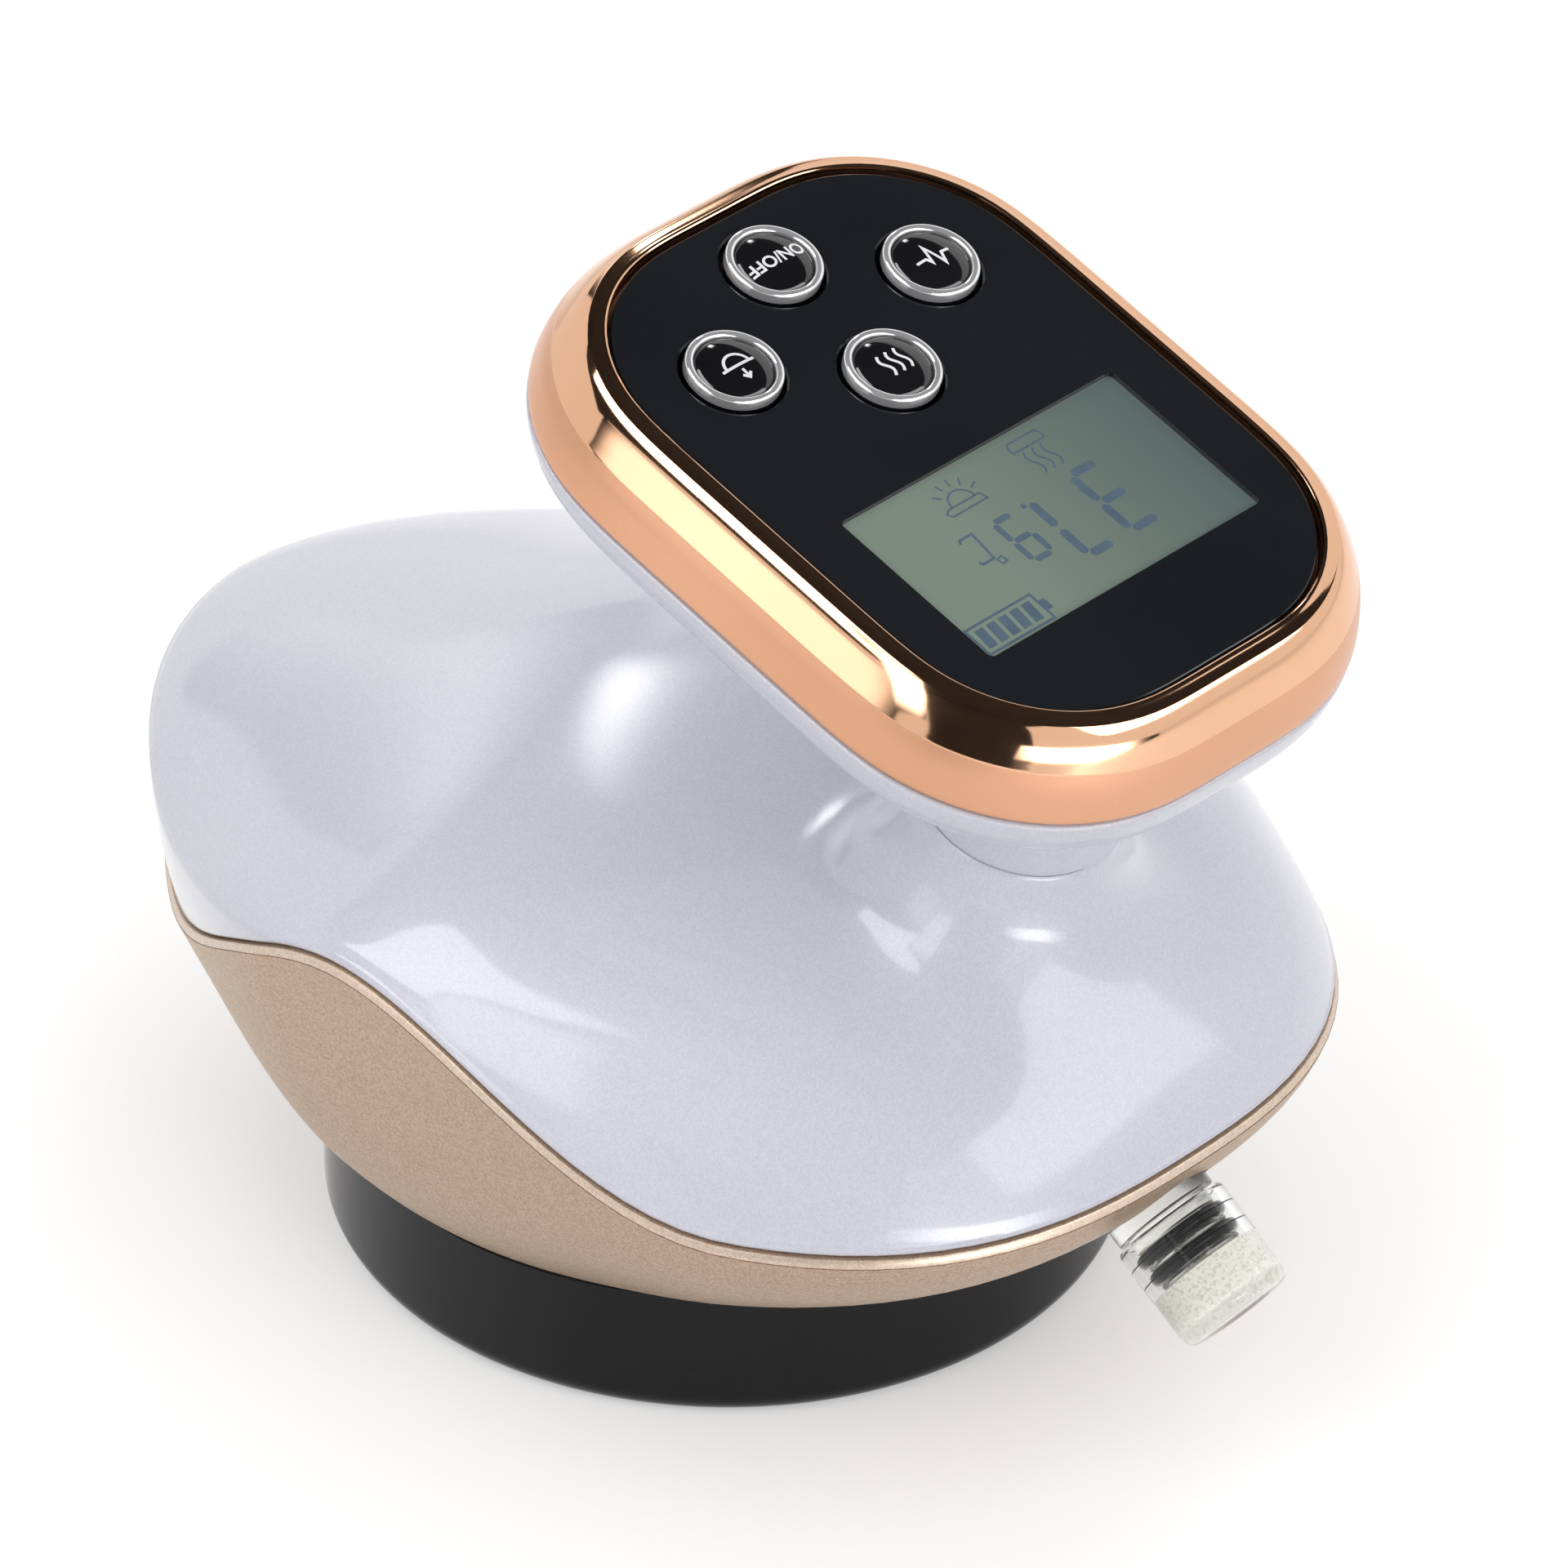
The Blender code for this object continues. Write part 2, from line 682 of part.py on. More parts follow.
def bowl_knee(angle, shares):
    """Share for one direction, from the shares for the front, the sides and the back."""
    front, side, back = shares
    lengthwise = math.sin(angle) ** 2
    end = front if math.sin(angle) > 0 else back
    return side + (end - side) * lengthwise


def lower_section(angle, out, drop, base_radius):
    """Points of the bowl's side, from the cup's shoulder up to the seam."""
    rim = seam_point(angle, out)
    rim.z -= drop
    turn = math.atan2(rim.y, rim.x)
    foot = Vector((base_radius * math.cos(turn), base_radius * math.sin(turn), CUP_SHOULDER_HEIGHT + GAP))
    knee = foot.lerp(rim, bowl_knee(angle, BOWL_OUT_SHARES))
    knee.z = foot.z + (rim.z - foot.z) * bowl_knee(angle, BOWL_UP_SHARES)
    points = []
    for step in range(BOWL_ROWS + 1):
        t = step / BOWL_ROWS
        points.append(foot * (1 - t) ** 2 + knee * 2 * t * (1 - t) + rim * t * t)
    return points


def build_lower_shell(material):
    """Gold bowl with a narrow ledge under the seam."""
    sections = []
    for angle in body_angles():
        outer = lower_section(angle, LEDGE, LEDGE_DROP, CUP_RADIUS + GAP)
        edge = seam_point(angle)
        back = seam_point(angle, -BODY_WALL)
        edge.z -= GAP / 2
        back.z -= GAP / 2
        inner = lower_section(angle, -BODY_WALL, LEDGE_DROP + BODY_WALL, CUP_RADIUS + GAP - BODY_WALL)
        sections.append([*outer, edge, back, *reversed(inner)])
    rings = [list(ring) for ring in zip(*sections)]
    shell = add_object("lower_shell", loft(rings, closed=True), material)
    reach = PORT_TAIL + PORT_NIPPLE_LENGTH
    shaft, flange, seat = PORT_SHAFT_RADIUS + GAP, PORT_FLANGE_RADIUS + GAP, -PORT_SINK - GAP
    profile = [(0.0, -reach), (shaft, -reach), (shaft, seat), (flange, seat), (flange, reach), (0.0, reach)]
    cut(shell, turned(profile, PORT_FACETS), "port_hole", collector_matrix())
    wide, tall = INLET_HALF_WIDTH + GAP, INLET_HALF_HEIGHT + GAP
    pocket = block(wide, tall, -INLET_LENGTH, INLET_LENGTH, INLET_HALF_HEIGHT)
    cut(shell, pocket, "inlet_hole", inlet_matrix())
    return shell


def build_suction_cup(material):
    """Black cup: rounded rim, step for the electrode, roof with holes, posts for the main board."""
    chamber = CUP_RADIUS - CUP_WALL
    step_radius = chamber + ELECTRODE_WIDTH
    step_height = ELECTRODE_RECESS + ELECTRODE_DEPTH + GAP
    spigot = CUP_RADIUS - CUP_SPIGOT_STEP
    roof_low = ROOF_HEIGHT - ROOF_THICKNESS
    profile = [(CUP_RADIUS, CUP_SHOULDER_HEIGHT)]
    profile += arc((CUP_RADIUS - CUP_RIM_ROUND, CUP_RIM_ROUND), CUP_RIM_ROUND, 0.0, -90.0, 4)
    profile += [(step_radius, 0.0), (step_radius, step_height), (chamber, step_height)]
    profile += arc((chamber - CHAMBER_ROUND, roof_low - CHAMBER_ROUND), CHAMBER_ROUND, 0.0, 90.0, 2)
    profile += [(LENS_RADIUS + GAP, roof_low), (LENS_RADIUS + GAP, ROOF_HEIGHT)]
    profile += [(spigot, ROOF_HEIGHT), (spigot, CUP_SHOULDER_HEIGHT)]
    cup = add_object("suction_cup", turned(profile, CUP_FACETS, closed=True), material)
    top = MAIN_BOARD_HEIGHT - GAP
    join(cup, rods(POST_RADIUS, ROOF_HEIGHT - ROOF_THICKNESS / 2, top, board_posts()), "posts")
    low, high = roof_low - OVERRUN, ROOF_HEIGHT + OVERRUN
    holes = [rods(SCREW_BORE, top - SCREW_LENGTH, top + OVERRUN, board_posts())]
    holes.append(rods(SCREW_RADIUS + GAP, low, high, bosses()))
    holes.append(rods(NOZZLE_RADIUS + GAP, low, high, [(0.0, NOZZLE_PLACE)]))
    holes.append(rods(PORT_BORE, low, high, [VALVE_PLACE], BORE_FACETS))
    cut(cup, merged(holes), "holes")
    return cup


def build_electrode(material):
    """Steel ring let into the step of the rim."""
    inner = CUP_RADIUS - CUP_WALL + GAP
    outer = CUP_RADIUS - CUP_WALL + ELECTRODE_WIDTH - GAP
    low, high = ELECTRODE_RECESS, ELECTRODE_RECESS + ELECTRODE_DEPTH
    bevel = (outer - inner) / 4
    profile = [(outer, high), (outer, low + bevel), (outer - bevel, low)]
    profile += [(inner + bevel, low), (inner, low + bevel), (inner, high)]
    return add_object("electrode_ring", turned(profile, CUP_FACETS, closed=True), material)


def build_lens(material):
    """Red light lens: a cup that hangs in the roof's hole by its flange."""
    low = ROOF_HEIGHT + GAP
    high = low + LENS_FLANGE_THICKNESS
    bottom = ROOF_HEIGHT - LENS_DROP
    bowl = LENS_RADIUS - LENS_WALL
    round_size = LENS_WALL * 2
    profile = [(0.0, bottom)]
    profile += arc((LENS_RADIUS - round_size, bottom + round_size), round_size, -90.0, 0.0, 3)
    profile += [(LENS_RADIUS, low), (LENS_RADIUS + LENS_FLANGE, low), (LENS_RADIUS + LENS_FLANGE, high)]
    profile += [(bowl, high), (bowl, bottom + round_size), (0.0, bottom + LENS_WALL)]
    return add_object("red_light_lens", turned(profile, PORT_FACETS), material)


def build_lamp_board(material):
    """Round board over the lens, with its lamps on the underside."""
    low = ROOF_HEIGHT + GAP + LENS_FLANGE_THICKNESS + GAP
    high = low + LAMP_BOARD_THICKNESS
    board = add_object("lamp_board", rod(LENS_RADIUS + LENS_FLANGE / 2, low, high, PORT_FACETS), material)
    reach = (LENS_RADIUS - LENS_WALL) * LAMP_CIRCLE_SHARE
    places = [point.xy for point in circle_ring(reach, 0.0, LAMP_COUNT)]
    lamps = rods(LAMP_RADIUS, low - LAMP_DEPTH, low + LAMP_BOARD_THICKNESS / 2, places, BORE_FACETS)
    join(board, lamps, "lamps")
    return board


def build_heating_plate(material):
    """Round plate under the roof, round the lens, with domed beads."""
    high = ROOF_HEIGHT - ROOF_THICKNESS - GAP
    low = high - HEATER_THICKNESS
    edges = [(HEATER_INNER_RADIUS, high), (HEATER_OUTER_RADIUS, high), (HEATER_OUTER_RADIUS, low)]
    edges.append((HEATER_INNER_RADIUS, low))
    ring = turned(edges, CUP_FACETS, closed=True)
    plate = add_object("heating_plate", ring, material)
    reach = (HEATER_INNER_RADIUS + HEATER_OUTER_RADIUS) / 2
    drop = BEAD_RADIUS * BEAD_RISE_SHARE
    middle = low + HEATER_THICKNESS / 2
    profile = [(BEAD_RADIUS * out, low - drop * down) for out, down in BEAD_SHARES]
    profile += [(BEAD_RADIUS, middle), (0.0, middle)]
    places = [point.xy for point in circle_ring(reach, 0.0, BEAD_COUNT)]
    beads = [turned(profile, BORE_FACETS, centre=place) for place in places]
    join(plate, merged(beads), "beads")
    return plate


def panel_ring(inset, height, facets=CORNER_FACETS):
    """A ring parallel to the panel's edge. A negative inset lies outside it."""
    corner = max(PANEL_CORNER - inset, GAP)
    return rounded_ring(PANEL_HALF_WIDTH - inset, PANEL_HALF_LENGTH - inset, corner, height, facets)


def build_bezel(material, head):
    """Chrome frame: leaning side, sloped top, low crest beside the panel and a seat under it."""
    lip = GAP / 2
    profile = []
    for out, down in zip(BEZEL_OUT_SHARES, BEZEL_DOWN_SHARES):
        profile.append((-BEZEL_WIDTH * out, -BEZEL_DEPTH * down))
    profile += [(-lip, BEZEL_CREST / 3), (-lip, -PANEL_THICKNESS)]
    profile += [(BEZEL_SEAT, -PANEL_THICKNESS - GAP), (BEZEL_SEAT, -PANEL_THICKNESS - BEZEL_SEAT)]
    profile += [(-BEZEL_SKIRT, -PANEL_THICKNESS - BEZEL_SEAT * 2), (-BEZEL_WIDTH + BEZEL_SKIRT, -BEZEL_DEPTH)]
    rings = [panel_ring(inset, height) for inset, height in profile]
    return add_object("bezel", loft(rings, closed=True), material, head)


def button_places():
    """The diamond: named places in the head's frame."""
    return {
        "power": (0.0, -BUTTONS_BACK - BUTTON_STEP),
        "heat": (0.0, -BUTTONS_BACK + BUTTON_STEP),
        "vacuum": (BUTTON_SPREAD, -BUTTONS_BACK),
        "pulse": (-BUTTON_SPREAD, -BUTTONS_BACK),
    }


def build_panel(material, head):
    """Black plate with a window and four button holes."""
    rings = [panel_ring(GAP, -PANEL_THICKNESS), panel_ring(GAP, 0.0)]
    panel = add_object("control_panel", loft(rings, cap_start=True, cap_end=True), material, head)
    low, high = -PANEL_THICKNESS - OVERRUN, OVERRUN
    holes = rods(BUTTON_RADIUS + RUNNING_GAP, low, high, button_places().values(), ROUND_FACETS)
    half_width, half_length = WINDOW_WIDTH / 2, WINDOW_LENGTH / 2
    window = block(half_width, half_length, low, high, GAP * 2, 3, (0.0, WINDOW_FORWARD))
    cut(panel, merged([holes, window]), "openings")
    return panel


def build_display(materials, head):
    """Window, LCD glass and backlight, one above the other."""
    half_width, half_length = WINDOW_WIDTH / 2 - GAP, WINDOW_LENGTH / 2 - GAP
    centre = (0.0, WINDOW_FORWARD)
    window = block(half_width, half_length, -PANEL_THICKNESS, 0.0, GAP, 3, centre)
    add_object("display_window", window, materials["clear"], head)
    glass_top = -PANEL_THICKNESS - GAP
    glass_low = glass_top - LCD_THICKNESS
    wide, tall = WINDOW_WIDTH / 2 + LCD_BORDER, WINDOW_LENGTH / 2 + LCD_BORDER
    glass = block(wide, tall, glass_low, glass_top, GAP, 3, centre)
    add_object("lcd_glass", glass, materials["lcd"], head)
    light_top = glass_low - GAP
    light_low = light_top - BACKLIGHT_THICKNESS
    light = block(wide, tall, light_low, light_top, GAP * 2, 3, centre)
    add_object("lcd_backlight", light, materials["white_plastic"], head)


def control_board_top():
    """Face of the board that the backlight and the switches stand on."""
    return -PANEL_THICKNESS - LCD_THICKNESS - BACKLIGHT_THICKNESS - GAP * 3


def plug_shape(low, high, place):
    """Plug for the lead between the two boards."""
    return block(PLUG_HALF_WIDTH, PLUG_HALF_LENGTH, low, high, GAP, 3, place)


def build_control_board(material, head):
    """Board in the head, with the panel's outline and the plug for its lead."""
    top = control_board_top()
    inset = BEZEL_SEAT + CONTROL_BOARD_MARGIN
    low = top - CONTROL_BOARD_THICKNESS
    rings = [panel_ring(inset, z) for z in (low, top)]
    board = add_object("control_board", loft(rings, cap_start=True, cap_end=True), material, head)
    root = low + CONTROL_BOARD_THICKNESS / 2
    join(board, plug_shape(low - PLUG_HEIGHT, root, (0.0, NECK_FORWARD)), "plug")


def build_button(name, place, materials, head):
    """Domed cap and chrome ring on the axis of one button, over its switch."""
    axis = add_frame(name + "_button_axis", Matrix.Translation((*place, 0.0)), head)
    ring_low = BUTTON_RISE - BUTTON_RING_DEPTH
    inner = BUTTON_RADIUS - BUTTON_RING_WIDTH
    cap = inner - GAP
    flange = BUTTON_RADIUS + BUTTON_FLANGE + RUNNING_GAP
    flange_top = -PANEL_THICKNESS - GAP
    flange_low = flange_top - BUTTON_FLANGE_THICKNESS
    switch_low = control_board_top() + GAP
    switch_top = switch_low + SWITCH_HEIGHT
    tip = switch_top - SWITCH_BORE_DEPTH + BUTTON_TRAVEL + GAP * 2
    profile = [(0.0, tip), (STEM_RADIUS, tip), (STEM_RADIUS, flange_low), (flange, flange_low)]
    profile += [(flange, flange_top), (BUTTON_RADIUS, flange_top), (BUTTON_RADIUS, ring_low - GAP)]
    profile += [(cap, ring_low - GAP), (cap, BUTTON_RISE - BUTTON_DOME)]
    profile += [(inner * DOME_SHARE, BUTTON_RISE), (0.0, BUTTON_RISE + BUTTON_DOME)]
    add_object(name + "_button", turned(profile, ROUND_FACETS), materials["black"], axis)
    middle = (BUTTON_RADIUS + inner) / 2
    shoulder = BUTTON_RISE - BUTTON_RING_WIDTH / 3
    edges = [(BUTTON_RADIUS, ring_low), (BUTTON_RADIUS, shoulder), (middle, BUTTON_RISE)]
    edges += [(inner, shoulder), (inner, ring_low)]
    ring = turned(edges, ROUND_FACETS, closed=True)
    add_object(name + "_button_ring", ring, materials["silver"], axis)
    half = SWITCH_SIZE / 2
    body = block(half, half, switch_low, switch_top, GAP * 2, 3, place)
    switch = add_object(name + "_switch", body, materials["dark"], head)
    bore_low = switch_top - SWITCH_BORE_DEPTH
    cut(switch, rods(STEM_RADIUS + RUNNING_GAP, bore_low, switch_top + OVERRUN, [place]), "bore")


def under_shell_ring(inset, share, depth, circle_radius):
    """A ring between the head's outline (share 0) and the neck's circle (share 1)."""
    ring = []
    for point in panel_ring(inset - BEZEL_WIDTH, -depth):
        turn = math.atan2(point.y - NECK_FORWARD, point.x)
        circle = circle_point(circle_radius, turn, depth)
        ring.append(point.lerp(circle, share))
    return ring


def circle_point(radius, turn, depth):
    """A point round the neck's axis, in the head's frame."""
    return Vector((radius * math.cos(turn), NECK_FORWARD + radius * math.sin(turn), -depth))


def build_under_shell(material, head):
    """White bowl under the bezel, with the neck column and its spigot."""
    top = BEZEL_DEPTH + GAP
    collar = NECK_LENGTH - GAP
    end = collar + SPIGOT_LENGTH
    column_top = top + UNDER_SHELL_DEPTH * NECK_START_SHARE
    spigot = NECK_RADIUS - BODY_WALL - GAP * 2
    bore = spigot - SPIGOT_WALL
    outer, inner = [], []
    for share, fall in UNDER_SHELL_SHARES:
        depth = top + UNDER_SHELL_DEPTH * fall
        outer.append(under_shell_ring(0.0, share, depth, NECK_RADIUS))
        depth = top + (UNDER_SHELL_DEPTH - UNDER_SHELL_WALL) * fall
        inner.append(under_shell_ring(UNDER_SHELL_WALL, share, depth, bore))
    steps = ((column_top, NECK_RADIUS), (collar, NECK_RADIUS), (collar, spigot), (end, spigot))
    outer += [under_shell_ring(0.0, 1.0, depth, radius) for depth, radius in steps]
    inner += [under_shell_ring(0.0, 1.0, depth, bore) for depth in (column_top, end)]
    rings = outer + list(reversed(inner))
    return add_object("head_under_shell", loft(rings, closed=True), material, head)


def build_collector(materials):
    """Clear port with two O-rings, and the collecting cup pushed over it."""
    axis = add_frame("collector_axis", collector_matrix())
    bore = COLLECTOR_RADIUS - COLLECTOR_WALL
    end = COLLECTOR_START + COLLECTOR_LENGTH
    floor = end - COLLECTOR_FLOOR
    corner = (COLLECTOR_RADIUS - COLLECTOR_ROUND, end - COLLECTOR_ROUND)
    profile = [(0.0, end), *arc(corner, COLLECTOR_ROUND, 90.0, 0.0, 3)]
    profile += [(COLLECTOR_RADIUS, COLLECTOR_START), (bore, COLLECTOR_START)]
    profile += [(bore, floor), (0.0, floor)]
    add_object("collecting_cup", turned(profile, PORT_FACETS), materials["clear"], axis)
    ring_radius = O_RING_THICKNESS / 2
    ring_middle = bore - O_RING_CLEARANCE - ring_radius
    groove = ring_middle - ring_radius - O_RING_CLEARANCE
    land = bore - GAP * 2
    end = O_RING_PLACES[-1] + O_RING_THICKNESS
    shaft, flange = PORT_SHAFT_RADIUS, PORT_FLANGE_RADIUS
    profile = [(0.0, -PORT_TAIL), (shaft, -PORT_TAIL), (shaft, -PORT_SINK), (flange, -PORT_SINK)]
    profile += [(flange, PORT_FLANGE_LENGTH), (land, PORT_FLANGE_LENGTH)]
    half = ring_radius + O_RING_CLEARANCE
    for place in O_RING_PLACES:
        low, high = place - half, place + half
        profile += [(land, low), (groove, low), (groove, high), (land, high)]
    profile += [(land, end), (0.0, end)]
    port = add_object("collector_port", turned(profile, ROUND_FACETS), materials["clear"], axis)
    sides = [(side * PORT_BORE_SPREAD, 0.0) for side in (-1, 1)]
    tail = -PORT_TAIL - PORT_NIPPLE_LENGTH
    join(port, rods(PORT_NIPPLE_RADIUS, tail, -PORT_SINK * 2, sides), "nipples")
    cut(port, rods(PORT_BORE, tail - OVERRUN, end + OVERRUN, sides, BORE_FACETS), "bores")
    for number, place in enumerate(O_RING_PLACES, 1):
        section = [point.xy for point in circle_ring(ring_radius, 0.0, O_RING_FACETS, (ring_middle, place))]
        ring = turned(section, ROUND_FACETS, closed=True)
        add_object(f"o_ring_{number}", ring, materials["rubber"], axis)


def inlet_matrix():
    """Frame of the charging inlet: Z runs out of the bowl's back, square to it."""
    section = lower_section(-math.pi / 2, LEDGE, LEDGE, CUP_RADIUS + GAP)
    place = (len(section) - 1) * INLET_UP_SHARE
    low = section[int(place)]
    high = section[int(place) + 1]
    point = low.lerp(high, place - int(place))
    up = (high - low).normalized()
    out = Vector((1.0, 0.0, 0.0)).cross(up)
    if out.y > 0:
        out.negate()
    across = up.cross(out)
    return Matrix.Translation(point) @ Matrix((across, up, out)).transposed().to_4x4()


def build_inlet(material):
    """Charging socket set flush in the back of the bowl, with its tongue."""
    low = -INLET_LENGTH
    body = block(INLET_HALF_WIDTH, INLET_HALF_HEIGHT, low, 0.0, INLET_HALF_HEIGHT)
    inlet = add_object("charging_inlet", body, material, place=inlet_matrix())
    wide, tall = INLET_HALF_WIDTH - INLET_SLOT_WALL, INLET_HALF_HEIGHT - INLET_SLOT_WALL
    slot = block(wide, tall, low + INLET_SLOT_WALL * 2, OVERRUN, tall)
    cut(inlet, slot, "slot", inlet_matrix())
    thick = INLET_TONGUE_THICKNESS / 2
    tongue = block(INLET_TONGUE_HALF_WIDTH, thick, low + INLET_SLOT_WALL, -INLET_SLOT_WALL * 2, GAP, 3)
    join(inlet, tongue, "tongue", inlet_matrix())
    return inlet


def screw_shape(head_low, down, place, length):
    """A pan head screw. Its shank runs down, or up where down is false."""
    way = -1 if down else 1
    top = head_low - way * SCREW_HEAD_HEIGHT
    tip = head_low + way * length
    profile = [(0.0, top), (SCREW_HEAD_RADIUS - SCREW_HEAD_ROUND, top), (SCREW_HEAD_RADIUS, head_low)]
    profile += [(SCREW_RADIUS, head_low), (SCREW_RADIUS, tip), (0.0, tip)]
    return turned(profile, BORE_FACETS, centre=place)


def build_screws(material):
    """Case screws up through the cup's roof, and the main board's screws."""
    for number, place in enumerate(bosses(), 1):
        head_high = ROOF_HEIGHT - ROOF_THICKNESS - GAP
        shape = screw_shape(head_high, False, place, SCREW_LENGTH + ROOF_THICKNESS)
        add_object(f"case_screw_{number}", shape, material)
    for number, place in enumerate(board_posts(), 1):
        head_low = MAIN_BOARD_HEIGHT + MAIN_BOARD_THICKNESS + GAP
        shape = screw_shape(head_low, True, place, SCREW_LENGTH)
        add_object(f"board_screw_{number}", shape, material)


def build_main_board(material):
    """Main board on the cup's posts."""
    low, high = MAIN_BOARD_HEIGHT, MAIN_BOARD_HEIGHT + MAIN_BOARD_THICKNESS
    centre = (0.0, MAIN_BOARD_PLACE)
    shape = block(MAIN_BOARD_HALF_WIDTH, MAIN_BOARD_HALF_LENGTH, low, high, POST_RADIUS, centre=centre)
    board = add_object("main_board", shape, material)
    cut(board, rods(SCREW_RADIUS + GAP, low - OVERRUN, high + OVERRUN, board_posts()), "holes")
    root = low + MAIN_BOARD_THICKNESS / 2
    join(board, plug_shape(root, high + PLUG_HEIGHT, main_plug_place()), "plug")
    return board


def main_plug_place():
    """The head's lead ends near the board's front edge."""
    return (0.0, MAIN_BOARD_PLACE + MAIN_BOARD_HALF_LENGTH - PLUG_HALF_LENGTH * 2)


def build_battery(material):
    """Flat cell on the main board."""
    low, high = BATTERY_TOP - BATTERY_THICKNESS, BATTERY_TOP
    centre = (0.0, BATTERY_PLACE)
    bevel = BATTERY_ROUND / 2
    rings = []
    for inset, z in ((bevel, low), (0.0, low + bevel), (0.0, high - bevel), (bevel, high)):
        width, length = BATTERY_HALF_WIDTH - inset, BATTERY_HALF_LENGTH - inset
        rings.append(rounded_ring(width, length, BATTERY_ROUND, z, 4, centre))
    return add_object("battery", loft(rings, cap_start=True, cap_end=True), material)


def motor_matrix():
    """Frame of the pump's motor: Z runs along the shaft to +Y, X to the pump's head."""
    columns = Matrix(((1.0, 0.0, 0.0), (0.0, 0.0, 1.0), (0.0, -1.0, 0.0)))
    return Matrix.Translation(MOTOR_PLACE) @ columns.to_4x4()


def build_pump(materials):
    """Motor, crank, rod with diaphragm, frame and head of the vacuum pump."""
    axis = add_frame("pump_axis", motor_matrix())
    build_motor(materials["steel"], axis)
    build_crank_and_rod(materials["white_plastic"], axis)
    build_pump_frame(materials["dark"], axis)


def build_motor(material, axis):
    """Motor's can, with the boss that centres it in the pump's frame and the bore for its shaft."""
    boss_top = MOTOR_LENGTH + MOTOR_BOSS_LENGTH
    bore, bottom = SHAFT_RADIUS + GAP, MOTOR_LENGTH - SHAFT_LENGTH
    profile = [(0.0, 0.0), (MOTOR_RADIUS - MOTOR_ROUND, 0.0), (MOTOR_RADIUS, MOTOR_ROUND)]
    profile += [(MOTOR_RADIUS, MOTOR_LENGTH), (MOTOR_BOSS_RADIUS, MOTOR_LENGTH)]
    profile += [(MOTOR_BOSS_RADIUS, boss_top), (bore, boss_top), (bore, bottom), (0.0, bottom)]
    add_object("pump_motor", turned(profile, PORT_FACETS), material, axis)


def build_crank_and_rod(material, axis):
    """Crank disc with its pin and shaft, and the rod's eye round the pin with the diaphragm."""
    low = MOTOR_LENGTH + PUMP_WALL + GAP * 2
    high = low + CRANK_THICKNESS
    middle = low + CRANK_THICKNESS / 2
    crank = add_object("pump_crank", rod(CRANK_RADIUS, low, high, ROUND_FACETS), material, axis)
    pin = rods(CRANK_PIN_RADIUS, middle, high + CRANK_PIN_LENGTH, [(CRANK_THROW, 0.0)])
    shaft = rods(SHAFT_RADIUS, MOTOR_LENGTH - SHAFT_LENGTH + GAP, middle, [(0.0, 0.0)])
    join(crank, merged([pin, shaft]), "pin_and_shaft")
    hole = CRANK_THROW + CRANK_PIN_RADIUS + GAP
    ring = hole + ROD_RING_WIDTH
    rod_low = high + GAP
    rod_high = rod_low + ROD_THICKNESS
    edges = [(hole, rod_low), (ring, rod_low), (ring, rod_high), (hole, rod_high)]
    link = add_object("pump_rod", turned(edges, ROUND_FACETS, closed=True), material, axis)
    way = Matrix.Translation((0.0, 0.0, (rod_low + rod_high) / 2)) @ Matrix.Rotation(math.pi / 2, 4, "Y")
    root, end = hole + ROD_RING_WIDTH / 2, ROD_REACH + DIAPHRAGM_THICKNESS
    profile = [(0.0, root), (ROD_STEM_RADIUS, root), (ROD_STEM_RADIUS, ROD_REACH)]
    profile += [(DIAPHRAGM_RADIUS, ROD_REACH), (DIAPHRAGM_RADIUS, end), (0.0, end)]
    join(link, turned(profile, SMALL_FACETS), "diaphragm", way)


def build_pump_frame(material, axis):
    """Frame round the crank, open to the side of the head, and the head with its two nipples."""
    side = MOTOR_RADIUS
    low = MOTOR_LENGTH + GAP
    high = low + PUMP_LENGTH
    frame = add_object("pump_frame", block(side, side, low, high, PUMP_WALL / 2, 3), material, axis)
    room_low, room_high = low + PUMP_WALL, high - PUMP_WALL
    cut(frame, block(side, side - PUMP_WALL, room_low, room_high, GAP, 3, (PUMP_WALL, 0.0)), "room")
    boss_hole = rod(MOTOR_BOSS_RADIUS + GAP, low - OVERRUN, room_low + OVERRUN, ROUND_FACETS)
    cut(frame, boss_hole, "boss_hole")
    head_low = side + GAP
    head_high = head_low + PUMP_HEAD_LENGTH
    tip = head_high + PUMP_NIPPLE_LENGTH
    place = Matrix.Translation((0.0, 0.0, (low + high) / 2))
    place = place @ Matrix.Rotation(math.pi / 2, 4, "Y") @ Matrix.Rotation(math.pi / 2, 4, "Z")
    shape = block(side, PUMP_LENGTH / 2, head_low, head_high, PUMP_WALL / 2, 3)
    pump_head = add_object("pump_head", shape, material, axis, place)
    ends = [(turn * side / 2, 0.0) for turn in (-1, 1)]
    join(pump_head, rods(PORT_NIPPLE_RADIUS, head_high - PUMP_WALL, tip, ends), "nipples", place)
    bores = rods(PORT_BORE, head_low - OVERRUN, tip + OVERRUN, ends, BORE_FACETS)
    cut(pump_head, bores, "bores", place)


def build_cradle(material):
    """Saddle on the cup's roof that the motor lies in."""
    low = ROOF_HEIGHT + GAP
    high = MOTOR_PLACE[2] - MOTOR_RADIUS / 2
    centre = (MOTOR_PLACE[0], MOTOR_PLACE[1] + CRADLE_HALF_LENGTH + GAP)
    shape = block(MOTOR_RADIUS + GAP, CRADLE_HALF_LENGTH, low, high, GAP * 3, 3, centre)
    cradle = add_object("pump_cradle", shape, material)
    saddle = rod(MOTOR_RADIUS + GAP, -OVERRUN, MOTOR_LENGTH, PORT_FACETS)
    cut(cradle, saddle, "saddle", motor_matrix())


